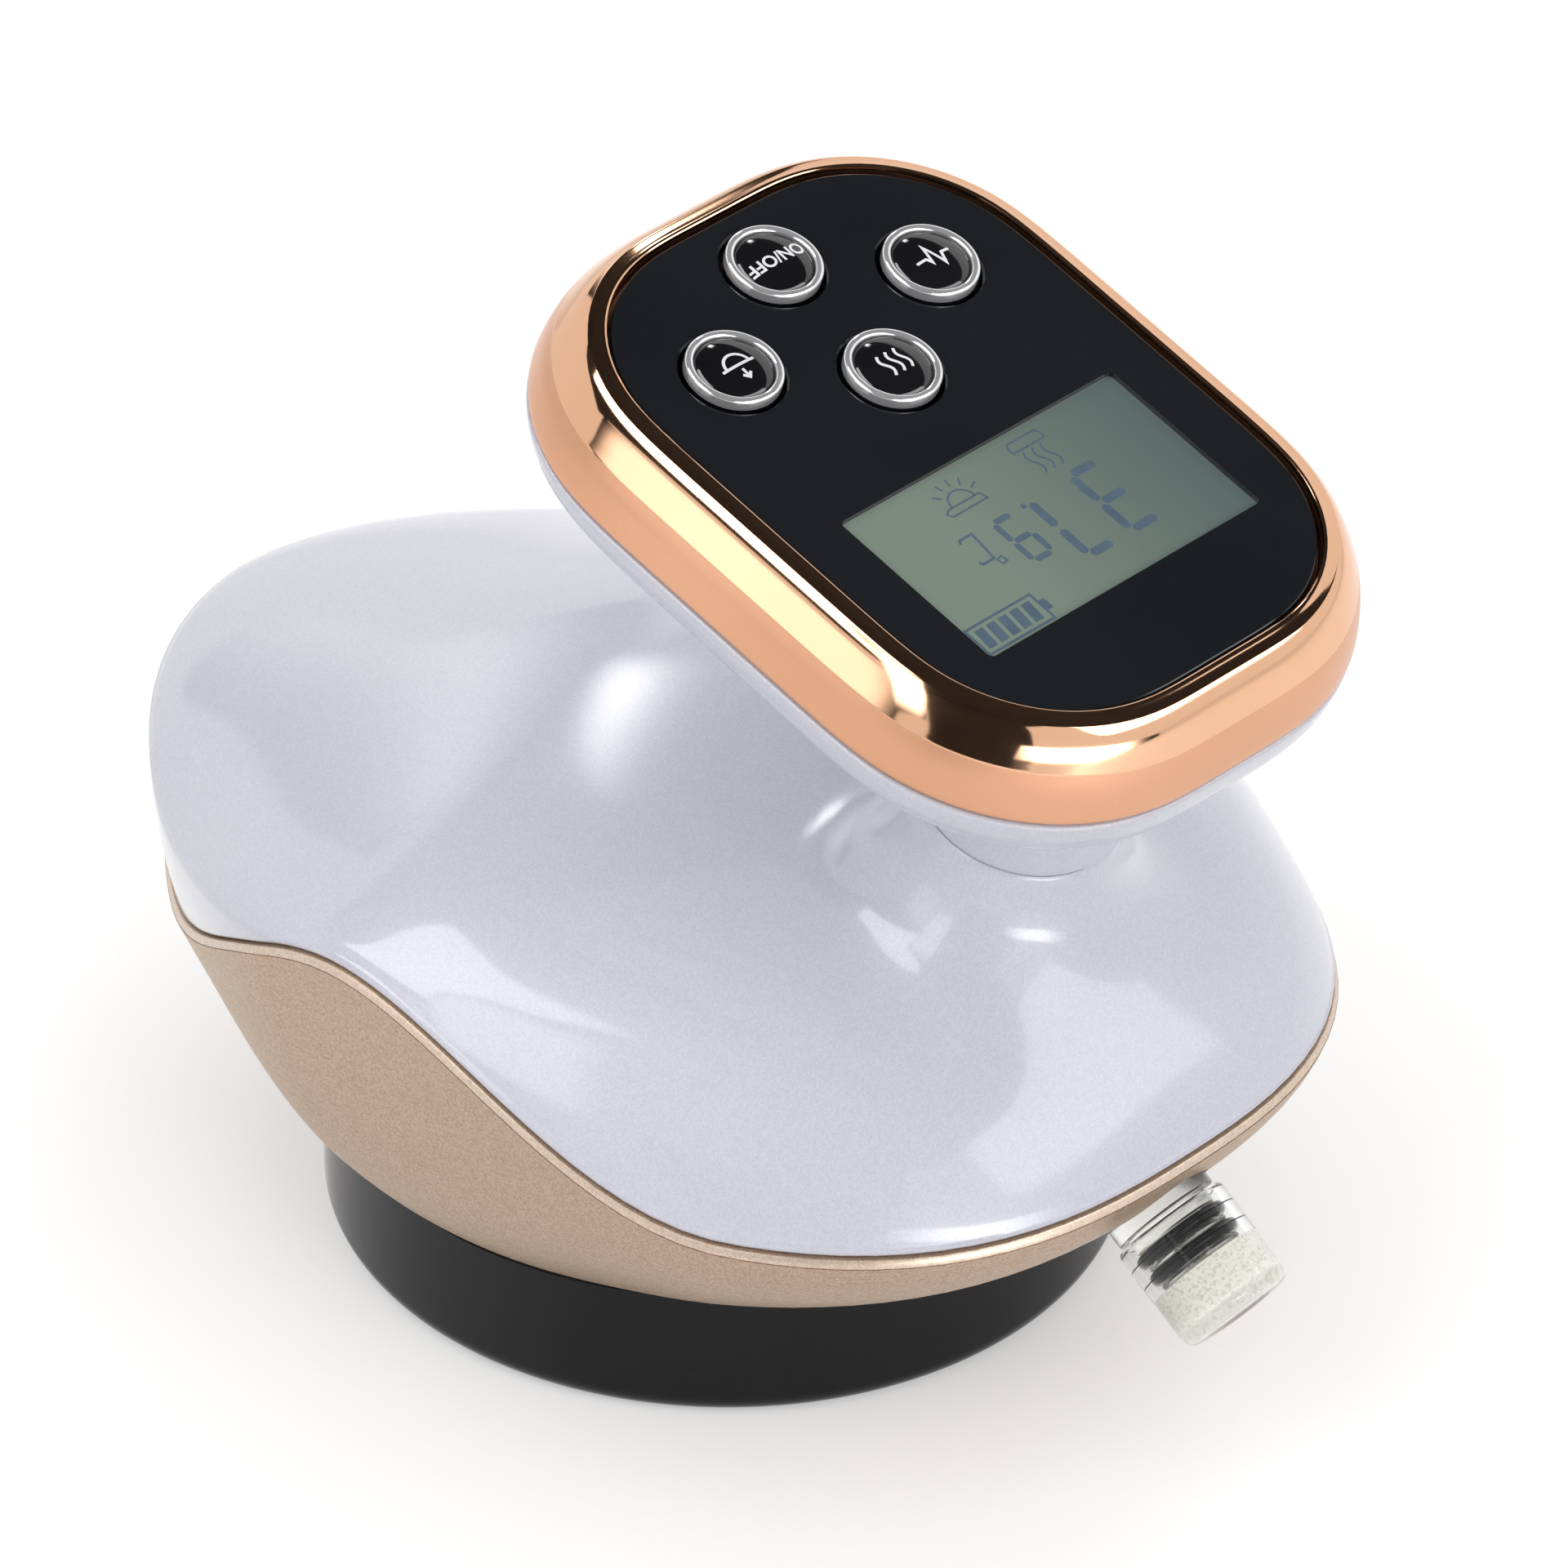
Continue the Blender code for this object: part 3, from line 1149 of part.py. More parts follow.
def build_valve(materials):
    """Release valve on the cup's roof, with its sprung plunger."""
    low = ROOF_HEIGHT + GAP
    high = low + VALVE_HEIGHT
    half = VALVE_SIZE / 2
    shape = block(half, half, low, high, GAP * 3, 3, VALVE_PLACE)
    body = add_object("release_valve", shape, materials["dark"])
    bottom = high - PLUNGER_LENGTH + PLUNGER_PROUD - PLUNGER_TRAVEL - GAP
    cut(body, rods(PLUNGER_RADIUS + GAP, bottom, high + OVERRUN, [VALVE_PLACE]), "bore")
    passage = rods(PORT_BORE, low - OVERRUN, bottom + OVERRUN, [VALVE_PLACE], BORE_FACETS)
    cut(body, passage, "passage")
    axis = add_frame("plunger_axis", Matrix.Translation((*VALVE_PLACE, high)))
    plunger = rod(PLUNGER_RADIUS, PLUNGER_PROUD - PLUNGER_LENGTH, PLUNGER_PROUD, SMALL_FACETS)
    add_object("valve_plunger", plunger, materials["steel"], axis)


def build_nozzle(material):
    """Suction nozzle through the cup's roof."""
    low = ROOF_HEIGHT - ROOF_THICKNESS
    seat = ROOF_HEIGHT + GAP
    shelf = seat + NOZZLE_FLANGE_THICKNESS
    bore = NOZZLE_RADIUS / 2
    profile = [(bore, low), (NOZZLE_RADIUS, low), (NOZZLE_RADIUS, seat), (NOZZLE_FLANGE_RADIUS, seat)]
    profile += [(NOZZLE_FLANGE_RADIUS, shelf), (NOZZLE_RADIUS, shelf), (NOZZLE_RADIUS, shelf + NOZZLE_HEIGHT)]
    profile += [(bore, shelf + NOZZLE_HEIGHT)]
    nozzle = turned(profile, SMALL_FACETS, closed=True, centre=(0.0, NOZZLE_PLACE))
    add_object("suction_nozzle", nozzle, material)


def build_hoses(material):
    """Hose from the cup's nozzle to the collecting port, and from the port to the pump's head."""
    port = collector_matrix()
    tail = -PORT_TAIL - PORT_NIPPLE_LENGTH - GAP
    starts = [port @ Vector((side * PORT_BORE_SPREAD, 0.0, tail)) for side in (-1, 1)]
    stays = [port @ Vector((side * PORT_BORE_SPREAD, 0.0, tail - HOSE_STRAIGHT)) for side in (-1, 1)]
    nozzle_top = ROOF_HEIGHT + GAP + NOZZLE_FLANGE_THICKNESS + NOZZLE_HEIGHT + GAP
    foot = Vector((0.0, NOZZLE_PLACE, nozzle_top))
    rise = foot + Vector((0.0, 0.0, HOSE_STRAIGHT))
    bend = (rise + stays[0]) / 2 + Vector((0.0, 0.0, HOSE_STRAIGHT / 2))
    add_tube("chamber_hose", [foot, rise, bend, stays[0], starts[0]], HOSE_RADIUS, material)
    motor = motor_matrix()
    reach = MOTOR_RADIUS + GAP + PUMP_HEAD_LENGTH + PUMP_NIPPLE_LENGTH + GAP
    middle = MOTOR_LENGTH + GAP + PUMP_LENGTH / 2
    outlet = motor @ Vector((reach, -MOTOR_RADIUS / 2, middle))
    route = [outlet, outlet + Vector((HOSE_STRAIGHT / 2, 0.0, 0.0))]
    way = stays[1] - outlet
    for across, along, up in zip(HOSE_ACROSS_SHARES, HOSE_ALONG_SHARES, HOSE_UP_SHARES):
        route.append(outlet + Vector((way.x * across, way.y * along, way.z * up)))
    add_tube("pump_hose", [*route, stays[1], starts[1]], HOSE_RADIUS, material)


def build_lead(material):
    """Lead from the control board's plug, down the neck, to the main board's plug."""
    head = head_matrix()
    low = control_board_top() - CONTROL_BOARD_THICKNESS - PLUG_HEIGHT - GAP
    start = head @ Vector((0.0, NECK_FORWARD, low))
    leave = head @ Vector((0.0, NECK_FORWARD, -NECK_LENGTH / 2))
    collar = head @ Vector((0.0, NECK_FORWARD, -NECK_LENGTH))
    plug = Vector((*main_plug_place(), MAIN_BOARD_HEIGHT + MAIN_BOARD_THICKNESS + PLUG_HEIGHT + GAP))
    over = plug + Vector((0.0, 0.0, LEAD_STRAIGHT))
    turn = over + Vector((0.0, LEAD_STRAIGHT, LEAD_STRAIGHT / 2))
    foot = collar.lerp(over, LEAD_TURN_SHARE)
    foot.z -= LEAD_DROP
    add_tube("head_lead", [start, leave, collar, foot, turn, over, plug], LEAD_RADIUS, material)


def build():
    """Clears the scene and builds every piece."""
    for old in list(bpy.data.objects):
        bpy.data.objects.remove(old, do_unlink=True)
    materials = {
        "pearl": make_material("pearl_white_plastic", (0.70, 0.70, 0.78), 0.18),
        "gold": make_material("champagne_paint", (0.50, 0.36, 0.26), 0.42, 0.4),
        "black": make_material("black_gloss", (0.012, 0.012, 0.015), 0.08),
        "panel": make_material("black_acrylic", (0.008, 0.009, 0.012), 0.04),
        "rose": make_material("rose_gold_chrome", (0.85, 0.48, 0.32), 0.07, 1.0),
        "silver": make_material("silver_chrome", (0.80, 0.80, 0.82), 0.10, 1.0),
        "steel": make_material("steel", (0.60, 0.60, 0.60), 0.30, 1.0),
        "clear": make_material("clear_plastic", (0.90, 0.92, 0.90), 0.05, 0.0, 0.9),
        "red_clear": make_material("red_clear_plastic", (0.60, 0.05, 0.04), 0.10, 0.0, 0.6),
        "lcd": make_material("lcd_glass", (0.20, 0.27, 0.21), 0.15),
        "rubber": make_material("black_rubber", (0.01, 0.01, 0.01), 0.60),
        "dark": make_material("dark_plastic", (0.03, 0.03, 0.035), 0.50),
        "white_plastic": make_material("white_plastic", (0.75, 0.75, 0.73), 0.45),
        "board": make_material("circuit_board", (0.02, 0.16, 0.07), 0.45),
        "cell": make_material("battery_wrap", (0.35, 0.42, 0.50), 0.40),
        "silicone": make_material("silicone_hose", (0.70, 0.70, 0.66), 0.35),
    }
    build_suction_cup(materials["black"])
    build_electrode(materials["steel"])
    build_lens(materials["red_clear"])
    build_lamp_board(materials["board"])
    build_heating_plate(materials["steel"])
    build_lower_shell(materials["gold"])
    build_upper_shell(materials["pearl"])
    head = add_frame("head_frame", head_matrix())
    build_under_shell(materials["pearl"], head)
    build_bezel(materials["rose"], head)
    build_panel(materials["panel"], head)
    build_display(materials, head)
    build_control_board(materials["board"], head)
    for name, place in button_places().items():
        build_button(name, place, materials, head)
    build_collector(materials)
    build_inlet(materials["steel"])
    build_screws(materials["steel"])
    build_main_board(materials["board"])
    build_battery(materials["cell"])
    build_cradle(materials["dark"])
    build_pump(materials)
    build_valve(materials)
    build_nozzle(materials["white_plastic"])
    build_hoses(materials["silicone"])
    build_lead(materials["rubber"])


build()
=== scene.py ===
"""Looks of the electric cupping massager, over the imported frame.

Metres, +Z up. The user reads the panel from -Y; the display end of the head, the neck and the
collecting cup are at +Y. Shapes repeat the CAD's formulas in finer steps.
"""

import functools
import json
import math

import bmesh
import bpy
from mathutils import Matrix, Vector


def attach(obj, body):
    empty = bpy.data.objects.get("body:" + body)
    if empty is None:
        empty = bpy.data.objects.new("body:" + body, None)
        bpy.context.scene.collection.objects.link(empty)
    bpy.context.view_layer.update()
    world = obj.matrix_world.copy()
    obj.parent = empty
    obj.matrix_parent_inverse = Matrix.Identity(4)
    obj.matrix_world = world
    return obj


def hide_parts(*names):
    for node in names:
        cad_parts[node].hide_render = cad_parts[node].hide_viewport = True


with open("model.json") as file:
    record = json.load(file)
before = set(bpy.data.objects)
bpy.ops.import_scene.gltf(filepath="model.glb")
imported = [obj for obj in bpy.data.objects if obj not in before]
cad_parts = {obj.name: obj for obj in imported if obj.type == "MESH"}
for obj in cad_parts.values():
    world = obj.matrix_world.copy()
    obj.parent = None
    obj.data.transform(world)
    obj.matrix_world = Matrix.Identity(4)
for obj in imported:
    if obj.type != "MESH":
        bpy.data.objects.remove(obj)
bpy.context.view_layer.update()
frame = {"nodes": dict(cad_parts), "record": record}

# Clearances
GAP = 0.0003
SKIN = 0.00002

# Facets, turns that stay sharp, and eased edges
BODY_FACETS = 192
CUP_FACETS = 160
ROUND_FACETS = 72
HOLE_FACETS = 24
CORNER_FACETS = 22
SIDE_STEPS = 14
CORNER_SOFTENING = 8
SHARP_TURN = math.radians(34.0)
HEAD_SHARP_TURN = math.radians(50.0)
SHELL_SHARP_TURN = math.radians(60.0)
FLAT_SHARE = 0.9999
EASED_MIDDLE = 0.3

# Suction cup
CUP_RADIUS = 0.040376
CUP_SHOULDER_HEIGHT = 0.015
CUP_SIDE_SHARES = (0.8, 0.6, 0.4)
CUP_RIM_ROUND = 0.0026
CUP_RIM_STEPS = 12
CUP_WALL = 0.0062
CUP_SPIGOT_STEP = 0.0028
ROOF_HEIGHT = 0.019
ROOF_THICKNESS = 0.003
CHAMBER_ROUND = 0.0014
CHAMBER_STEPS = 8
ELECTRODE_WIDTH = 0.0026
ELECTRODE_DEPTH = 0.0028
ELECTRODE_RECESS = 0.0004
ELECTRODE_STEPS = 6
LENS_RADIUS = 0.0132
SCREW_BORE = 0.0013
SCREW_PLACE = (0.02361, 0.01912)
NOZZLE_PLACE = 0.030476
NOZZLE_RADIUS = 0.002
VALVE_PLACE = (-0.0085, 0.0235)
VALVE_BORE = 0.0008

# Outline of the body, seen from above
BODY_HALF_WIDTH = 0.0502
BODY_FRONT = 0.0614
BODY_BACK = 0.068
WIDEST_PLACE = -0.014
FRONT_POWER = 2.65
BACK_ACROSS_POWER = 1.85
BACK_ALONG_POWER = 1.3
POWER_BLEND = 0.02
BACK_CROWDING = 0.3
FINE_TURN = math.radians(0.5)
HALVINGS = 40
BODY_WALL = 0.0022
EDGE_ROUND = 0.00035
LEDGE = 0.0004
LEDGE_DROP = 0.0011

# Height of the seam and of the crown
SEAM_BACK_HEIGHT = 0.03
SEAM_PEAK_HEIGHT = 0.0491
SEAM_FRONT_HEIGHT = 0.0337
SEAM_PLACE_SHARES = (0.157, 0.5, 0.836)
HUMP_HEIGHT = 0.0584
NECK_FOOT_HEIGHT = 0.054
CROWN_PLACE_SHARES = (0.3, 0.86)
CROWN_FRONT_POWER = 2.1
CROWN_BACK_POWER = 0.7
CROWN_BLEND = 0.03
CROWN_BLEND_PLACE = 0.0088
CROWN_RISE_POWER = 1.31
CROWN_START = 0.06
CROWN_ROWS = 54
RISING_ROWS = CROWN_ROWS // 4
FLARE_WIDTH = 0.0125
CALM_ROUNDS = 30
CALM_WEIGHT = 0.6
CALM_FIRST_ROWS = CROWN_ROWS // 6
CALM_LAST_ROWS = CROWN_ROWS // 5
CALM_PLACE = 0.012
CALM_BLEND = 0.012
UNDERCUT_ROWS = 9
UNDERCUT_START = 0.005
UNDERCUT_LENGTH = 0.045
UNDERCUT_DEPTH = 0.0016
UNDERCUT_RISE = 0.0122

# Bowl under the seam
BOWL_OUT_SHARES = (0.9, 0.58, 0.33)
BOWL_UP_SHARES = (0.545, 0.07, 0.1)
BOWL_ROWS = 26
CAD_BOWL_ROWS = 5
LIP_SHARES = ((0.72, 0.985), (0.64, 0.93), (0.9, 0.9), (0.86, 0.8), (0.42, 0.3), (0.15, 0.17))
LIP_INNER_SHARE = 0.15
STRIP_START_ROW = 2

# Head
HEAD_PLACE = (0.0, 0.0304, 0.1014)
HEAD_TILT = math.radians(17.0)
HEAD_FRAME = Matrix.Translation(HEAD_PLACE) @ Matrix.Rotation(-HEAD_TILT, 4, "X")
PANEL_HALF_WIDTH = 0.0248
PANEL_HALF_LENGTH = 0.0338
PANEL_CORNER = 0.0171
PANEL_THICKNESS = 0.0016
PANEL_BEVEL = 0.00018
BEZEL_WIDTH = 0.0059
BEZEL_DEPTH = 0.0092
BEZEL_BAND = ((0.93, 1.0), (0.975, 0.985), (1.0, 0.93), (0.975, 0.8), (0.9, 0.58), (0.8, 0.405))
BEZEL_TOP = (
    (0.79, 0.388), (0.765, 0.36), (0.66, 0.245), (0.55, 0.14), (0.44, 0.055), (0.345, 0.0),
    (0.31, -0.014), (0.27, -0.02), (0.18, -0.035), (0.11, -0.052), (0.07, -0.056), (0.035, -0.045),
)
BEZEL_BAND_STEPS = 3
BEZEL_TOP_STEPS = 4
BEZEL_SEAT = 0.0012
BEZEL_SKIRT = 0.0018
UNDER_SHELL_DEPTH = 0.0085
UNDER_SHELL_SHARES = (
    (0.0, 0.0), (0.008, 0.16), (0.03, 0.32), (0.09, 0.5),
    (0.22, 0.66), (0.45, 0.8), (0.72, 0.91), (0.9, 1.06),
)
UNDER_SHELL_STEPS = 5
UNDER_SHELL_LID = EDGE_ROUND * 6
NECK_START_SHARE = 1.5
NECK_EASE_SHARE = 0.975
NECK_FORWARD = 0.0188
NECK_RADIUS = 0.0101
NECK_LENGTH = 0.0334
NECK_EASE_LENGTH = EDGE_ROUND * 3
NECK_SPIGOT_STEP = EDGE_ROUND * 2.2

# Display, whose signs are drawn in millimetres
WINDOW_WIDTH = 0.0371
WINDOW_LENGTH = 0.0202
WINDOW_FORWARD = 0.0117
WINDOW_SINK = 0.0005
WINDOW_CORNER = 0.0006
DISPLAY_DEPTH = 0.0041
LCD_SHIFT = (-0.42, -0.27)
# Span along X over which the display face's painted shade darkens towards -X
LCD_PAINTED_SHADE_SPAN = (-0.0185, 0.01)
MILLIMETRES = 1000
MITRE_LIMIT = 0.3
SEGMENT_GAP_SHARE = 0.26
SEGMENT_POINT_SHARE = 0.34
# Each digit: its lit segments, left, low, width, height and thickness
DIGITS = (
    ("abcdg", -8.6, 9.3, 3.6, 8.25, 0.95),
    ("abc", -2.45, 9.45, 3.35, 8.15, 0.95),
    ("abcdfg", 3.55, 9.7, 2.45, 5.55, 0.66),
)
DECIMAL_POINT = (1.5, 9.4, 2.05, 9.95)
FINE_STROKE = 0.2
BATTERY_CASE = (9.6, 18.05, 18.35, 21.45)
BATTERY_STROKE = 0.28
BATTERY_TIP = (8.75, 19.1, 9.46, 20.45)
BATTERY_BAR = ((0.0, 18.55), (1.1, 18.55), (1.35, 20.95), (0.25, 20.95))
BATTERY_BAR_START = 10.25
BATTERY_BAR_STEP = 1.56
LAMP_BASE = ((3.9, 6.95), (4.2, 6.1), (8.3, 6.1), (8.95, 6.45), (8.6, 7.0))
LAMP_MIDDLE = (6.3, 6.1)
LAMP_RADIUS = 1.55
LAMP_STEPS = 10
LAMP_RAY_TURNS = (205.0, 235.0, 262.0, 290.0, 320.0)
LAMP_RAY_REACHES = (2.15, 3.05)
HEAT_PLATE = ((0.0, 0.55), (0.25, 0.0), (4.0, 0.0), (4.3, 0.55), (4.3, 1.2), (0.0, 1.2))
HEAT_PLACE = (-6.6, 3.1)
HEAT_WAVE_PLACES = [0.95 + 1.15 * number for number in range(3)]
HEAT_WAVE_START = 1.55
HEAT_WAVE_HEIGHT = 3.1
WAVE_SWING = 0.11
WAVE_STEPS = 14
DEGREE_SIGN = ((8.3, 13.05), (9.0, 13.2), (8.85, 13.9), (8.15, 13.75))
UNIT_LETTER = ((10.75, 12.5), (10.6, 12.9), (9.1, 12.9), (8.7, 9.5), (10.3, 9.5), (10.6, 9.9))
UNIT_STROKE = 0.3

# Buttons
BUTTON_RADIUS = 0.0048
BUTTON_SPREAD = 0.0134
BUTTON_STEP = 0.0081
BUTTONS_BACK = 0.018
BUTTON_PLACES = {
    "power": (0.0, -BUTTONS_BACK - BUTTON_STEP),
    "heat": (0.0, -BUTTONS_BACK + BUTTON_STEP),
    "vacuum": (BUTTON_SPREAD, -BUTTONS_BACK),
    "pulse": (-BUTTON_SPREAD, -BUTTONS_BACK),
}
BUTTON_RISE = 0.001
BUTTON_DOME = 0.0007
BUTTON_CLEARANCE = 0.00045
DOME_LOW = BUTTON_RISE - BUTTON_DOME * 0.7
DOME_HIGH = BUTTON_RISE + BUTTON_DOME * 0.55
DOME_STEPS = 14
BUTTON_RING_WIDTH = 0.00085
BUTTON_RING_DEPTH = 0.0011
BUTTON_RING_STEPS = 12
RING_DROP_SHARE = 0.55
RING_CREST_SHARE = 0.75

# Marks of the caps, about the cap's middle
MARK_MESH = 0.00035
MARK_SCALE = 0.00125
MARK_STROKE = 0.0003
LETTER_SIZE = 0.00195
LETTER_SPREAD = 0.00004
MARK_WAVE_PLACES = (-0.9, 0.0, 0.9)
MARK_WAVE_SPAN = (-1.1, 2.2)
MARK_CUP_MIDDLE = (0.0, 0.25)
MARK_CUP_RADIUS = 1.15
MARK_CUP_STEPS = 12
MARK_CUP_LINES = (
    ((-1.6, 0.25), (1.6, 0.25)),
    ((0.0, 0.7), (0.0, 1.6)),
    ((-0.4, 1.2), (0.0, 1.6), (0.4, 1.2)),
)
MARK_PULSE = ((-1.7, 0.0), (-0.9, 0.0), (-0.5, 1.0), (0.1, -1.1), (0.5, 0.5), (0.75, 0.0), (1.7, 0.0))

# Collecting cup and port
COLLECTOR_PLACE = (0.0, 0.0579, 0.026)
COLLECTOR_TILT = math.radians(34.0)
COLLECTOR_FRAME = Matrix.Translation(COLLECTOR_PLACE) @ Matrix.Rotation(-math.pi / 2 - COLLECTOR_TILT, 4, "X")
COLLECTOR_RADIUS = 0.0061
COLLECTOR_WALL = 0.001
COLLECTOR_BORE = COLLECTOR_RADIUS - COLLECTOR_WALL
COLLECTOR_FLOOR = 0.0014
COLLECTOR_START = 0.0016
COLLECTOR_LENGTH = 0.0112
COLLECTOR_ROUND = 0.0012
COLLECTOR_ROUND_STEPS = 9
COLLECTOR_DIMPLE = ((0.0, 1.0), (0.55, 0.7), (0.7, 0.0))
FROST_START = 0.0072
FROST_STEPS = 6
PORT_FLANGE_RADIUS = 0.0055
PORT_FLANGE_LENGTH = 0.0012
PORT_SINK = 0.001
PORT_SHAFT_RADIUS = 0.0042
PORT_TAIL = 0.0058
PORT_BORE = 0.0012
O_RING_THICKNESS = 0.0013
O_RING_PLACES = (0.0036, 0.0056)
O_RING_CLEARANCE = 0.00012
O_RING_FACETS = 20

# Charging inlet
INLET_HALF_WIDTH = 0.0046
INLET_HALF_HEIGHT = 0.0018
INLET_LENGTH = 0.007
INLET_UP_SHARE = 0.62

# Camera, found from the photograph
CAMERA_RIGHT = Vector((-0.69298, 0.72091, 0.00835))
CAMERA_UP = Vector((-0.40317, -0.3971, 0.82448))
CAMERA_FORWARD = Vector((-0.59769, -0.56798, -0.56583))
CAMERA_TARGET = Vector((0.0, 0.0, 0.05))
CAMERA_DISTANCE = 1.0
CAMERA_OFFSET = (-0.0054624, 0.0022496)
CAMERA_LENS = 234.4
CAMERA_CLIP = (0.01, 30.0)

# Studio. A softbox: name, centre, width, length, strength, softness and roll
WORLD_LEVEL = 0.62
FLOOR_GLOW = 0.36
FLOOR_SIZE = 12.0
FLOOR_DROP = 0.00005
SOFTBOX_TARGET = (0.0, 0.0, 0.08)
SOFTBOXES = (
    ("left", (1.05, -0.36, 0.46), 0.8, 0.6, 2.1, 0.34, 0.0),
    ("high", (0.43, -0.31, 0.95), 0.8, 0.48, 6.0, 0.06, 0.0),
    ("tall", (0.8, 0.06, 0.66), 0.26, 0.76, 4.2, 0.2, -0.1),
    ("front", (-0.46, 0.96, 0.68), 1.1, 0.6, 4.0, 0.08, 0.0),
    ("low", (0.22, 1.04, 0.11), 1.5, 0.17, 14.0, 0.45, 0.2),
    ("back", (-0.62, -0.63, 0.71), 0.08, 0.25, 13.0, 0.5, -0.7),
    ("behind", (-0.49, -0.89, 0.5), 0.5, 0.34, 2.0, 0.5, 0.0),
)
# A dark card: name, centre and side. A lamp: name, centre, width, length and power
CARD_TARGET = (0.0, 0.0, 0.1)
DARK_CARDS = (("over", (0.0, 0.0, 1.1), 2.6), ("camera_side", (0.8, 0.62, 0.5), 0.9))
LAMP_TARGET = (0.0, 0.0, 0.06)
LAMPS = (
    ("over", (0.05, -0.05, 1.05), 0.8, 0.8, 1.6),
    ("left", (0.82, -0.02, 0.76), 0.7, 0.6, 2.8),
    ("far", (-0.82, -0.16, 0.72), 0.7, 0.6, 2.2),
    ("front", (0.1, 1.02, 0.5), 0.7, 0.5, 3.2),
)

# Materials
TONE_RAMP = (0.35, 0.65)
GLOSS_RAMP = (0.3, 0.7)
COAT_ROUGHNESS = 0.04
CLEAR_SHADE = 0.97
LOOKS = {}


def mesh_of(name, shape, place=None):
    """A mesh from a bmesh, moved to its place."""
    if place is not None:
        shape.transform(place)
    mesh = bpy.data.meshes.new(name)
    shape.to_mesh(mesh)
    shape.free()
    return mesh


def linked(name, data):
    """A new object in the scene."""
    thing = bpy.data.objects.new(name, data)
    bpy.context.scene.collection.objects.link(thing)
    return thing


def applied_mesh(thing):
    """The mesh of an object with its modifiers or its letters worked out."""
    return bpy.data.meshes.new_from_object(thing.evaluated_get(bpy.context.evaluated_depsgraph_get()))


def smooth(mesh, sharp=SHARP_TURN):
    mesh.shade_smooth()
    mesh.set_sharp_from_angle(angle=sharp)


def loft(rings, closed=False, capped=False):
    """A bmesh through rings of points. A ring of one point is a pole."""
    shape = bmesh.new()
    rows = [[shape.verts.new(point) for point in ring] for ring in rings]
    pairs = list(zip(rows, rows[1:]))
    if closed:
        pairs.append((rows[-1], rows[0]))
    for low, high in pairs:
        count = max(len(low), len(high))
        low, high = (row * count if len(row) == 1 else row for row in (low, high))
        for step in range(count):
            after = (step + 1) % count
            corners = (low[step], low[after], high[after], high[step])
            shape.faces.new(list(dict.fromkeys(corners)))
    if capped:
        shape.faces.new(list(reversed(rows[0])))
        shape.faces.new(rows[-1])
    bmesh.ops.recalc_face_normals(shape, faces=shape.faces)
    return shape


def circle_ring(radius, height, facets, centre=(0.0, 0.0)):
    x, y = centre
    if radius == 0.0:
        return [(x, y, height)]
    turns = [math.tau * step / facets for step in range(facets)]
    return [(x + radius * math.cos(t), y + radius * math.sin(t), height) for t in turns]


def turned(profile, facets=ROUND_FACETS, closed=False, centre=(0.0, 0.0)):
    """A turned shape from its (radius, height) profile."""
    return loft([circle_ring(radius, height, facets, centre) for radius, height in profile], closed)


def arc(centre, radius, start, end, steps):
    """Points of a profile's arc, from start to end in degrees."""
    x, y = centre
    turns = [math.radians(start + (end - start) * step / steps) for step in range(steps + 1)]
    return [(x + radius * math.cos(t), y + radius * math.sin(t)) for t in turns]


def rounded_ring(half_width, half_length, corner, height, centre=(0.0, 0.0)):
    """A level rounded rectangle with points along its straight sides too."""
    corner = min(corner, half_width, half_length)
    x, y = centre
    points = []
    for quarter, (across, along) in enumerate([(1, 1), (-1, 1), (-1, -1), (1, -1)]):
        middle = (across * (half_width - corner) + x, along * (half_length - corner) + y)
        points += arc(middle, corner, 90.0 * quarter, 90.0 * (quarter + 1), CORNER_FACETS)
    ring = []
    for index, point in enumerate(points):
        after = points[(index + 1) % len(points)]
        steps = SIDE_STEPS if (index + 1) % (CORNER_FACETS + 1) == 0 else 1
        for step in range(steps):
            ring.append(Vector((*point, height)).lerp(Vector((*after, height)), step / steps))
    return ring


def slab(half_width, half_length, low, high, corner, centre=(0.0, 0.0)):
    rings = [rounded_ring(half_width, half_length, corner, z, centre) for z in (low, high)]
    return loft(rings, capped=True)


def merged(shapes):
    """One bmesh that holds several separate shapes."""
    whole = bmesh.new()
    for shape in shapes:
        mesh = mesh_of("merged_piece", shape)
        whole.from_mesh(mesh)
        bpy.data.meshes.remove(mesh)
    return whole


def add_piece(name, shape, slot, stands_for=(), place=None, look=None, body="massager", sharp=SHARP_TURN):
    """Links a mesh as a piece that rides on a body, in its slot's look or in another."""
    mesh = mesh_of(name, shape, place)
    smooth(mesh, sharp)
    mesh.materials.append(LOOKS[look or slot])
    thing = linked(name, mesh)
    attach(thing, body)
    if stands_for:
        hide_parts(*stands_for)
    return thing


def add_look(thing, look, first, last):
    """Gives another look to the faces whose points all lie from first to before last."""
    thing.data.materials.append(LOOKS[look])
    for polygon in thing.data.polygons:
        if first <= min(polygon.vertices) and max(polygon.vertices) < last:
            polygon.material_index = 1


def cut(thing, shape, place=None):
    """Cuts a helper shape out of a piece for good."""
    cutter = linked("cutter", mesh_of("cutter", shape, place))
    step = thing.modifiers.new("cut", "BOOLEAN")
    step.object = cutter
    step.operation = "DIFFERENCE"
    step.solver = "EXACT"
    result = applied_mesh(thing)
    thing.modifiers.remove(step)
    thing.data = result
    smooth(result)
    bpy.data.objects.remove(cutter)


def ease(share):
    share = min(max(share, 0.0), 1.0)
    return share * share * (3.0 - 2.0 * share)


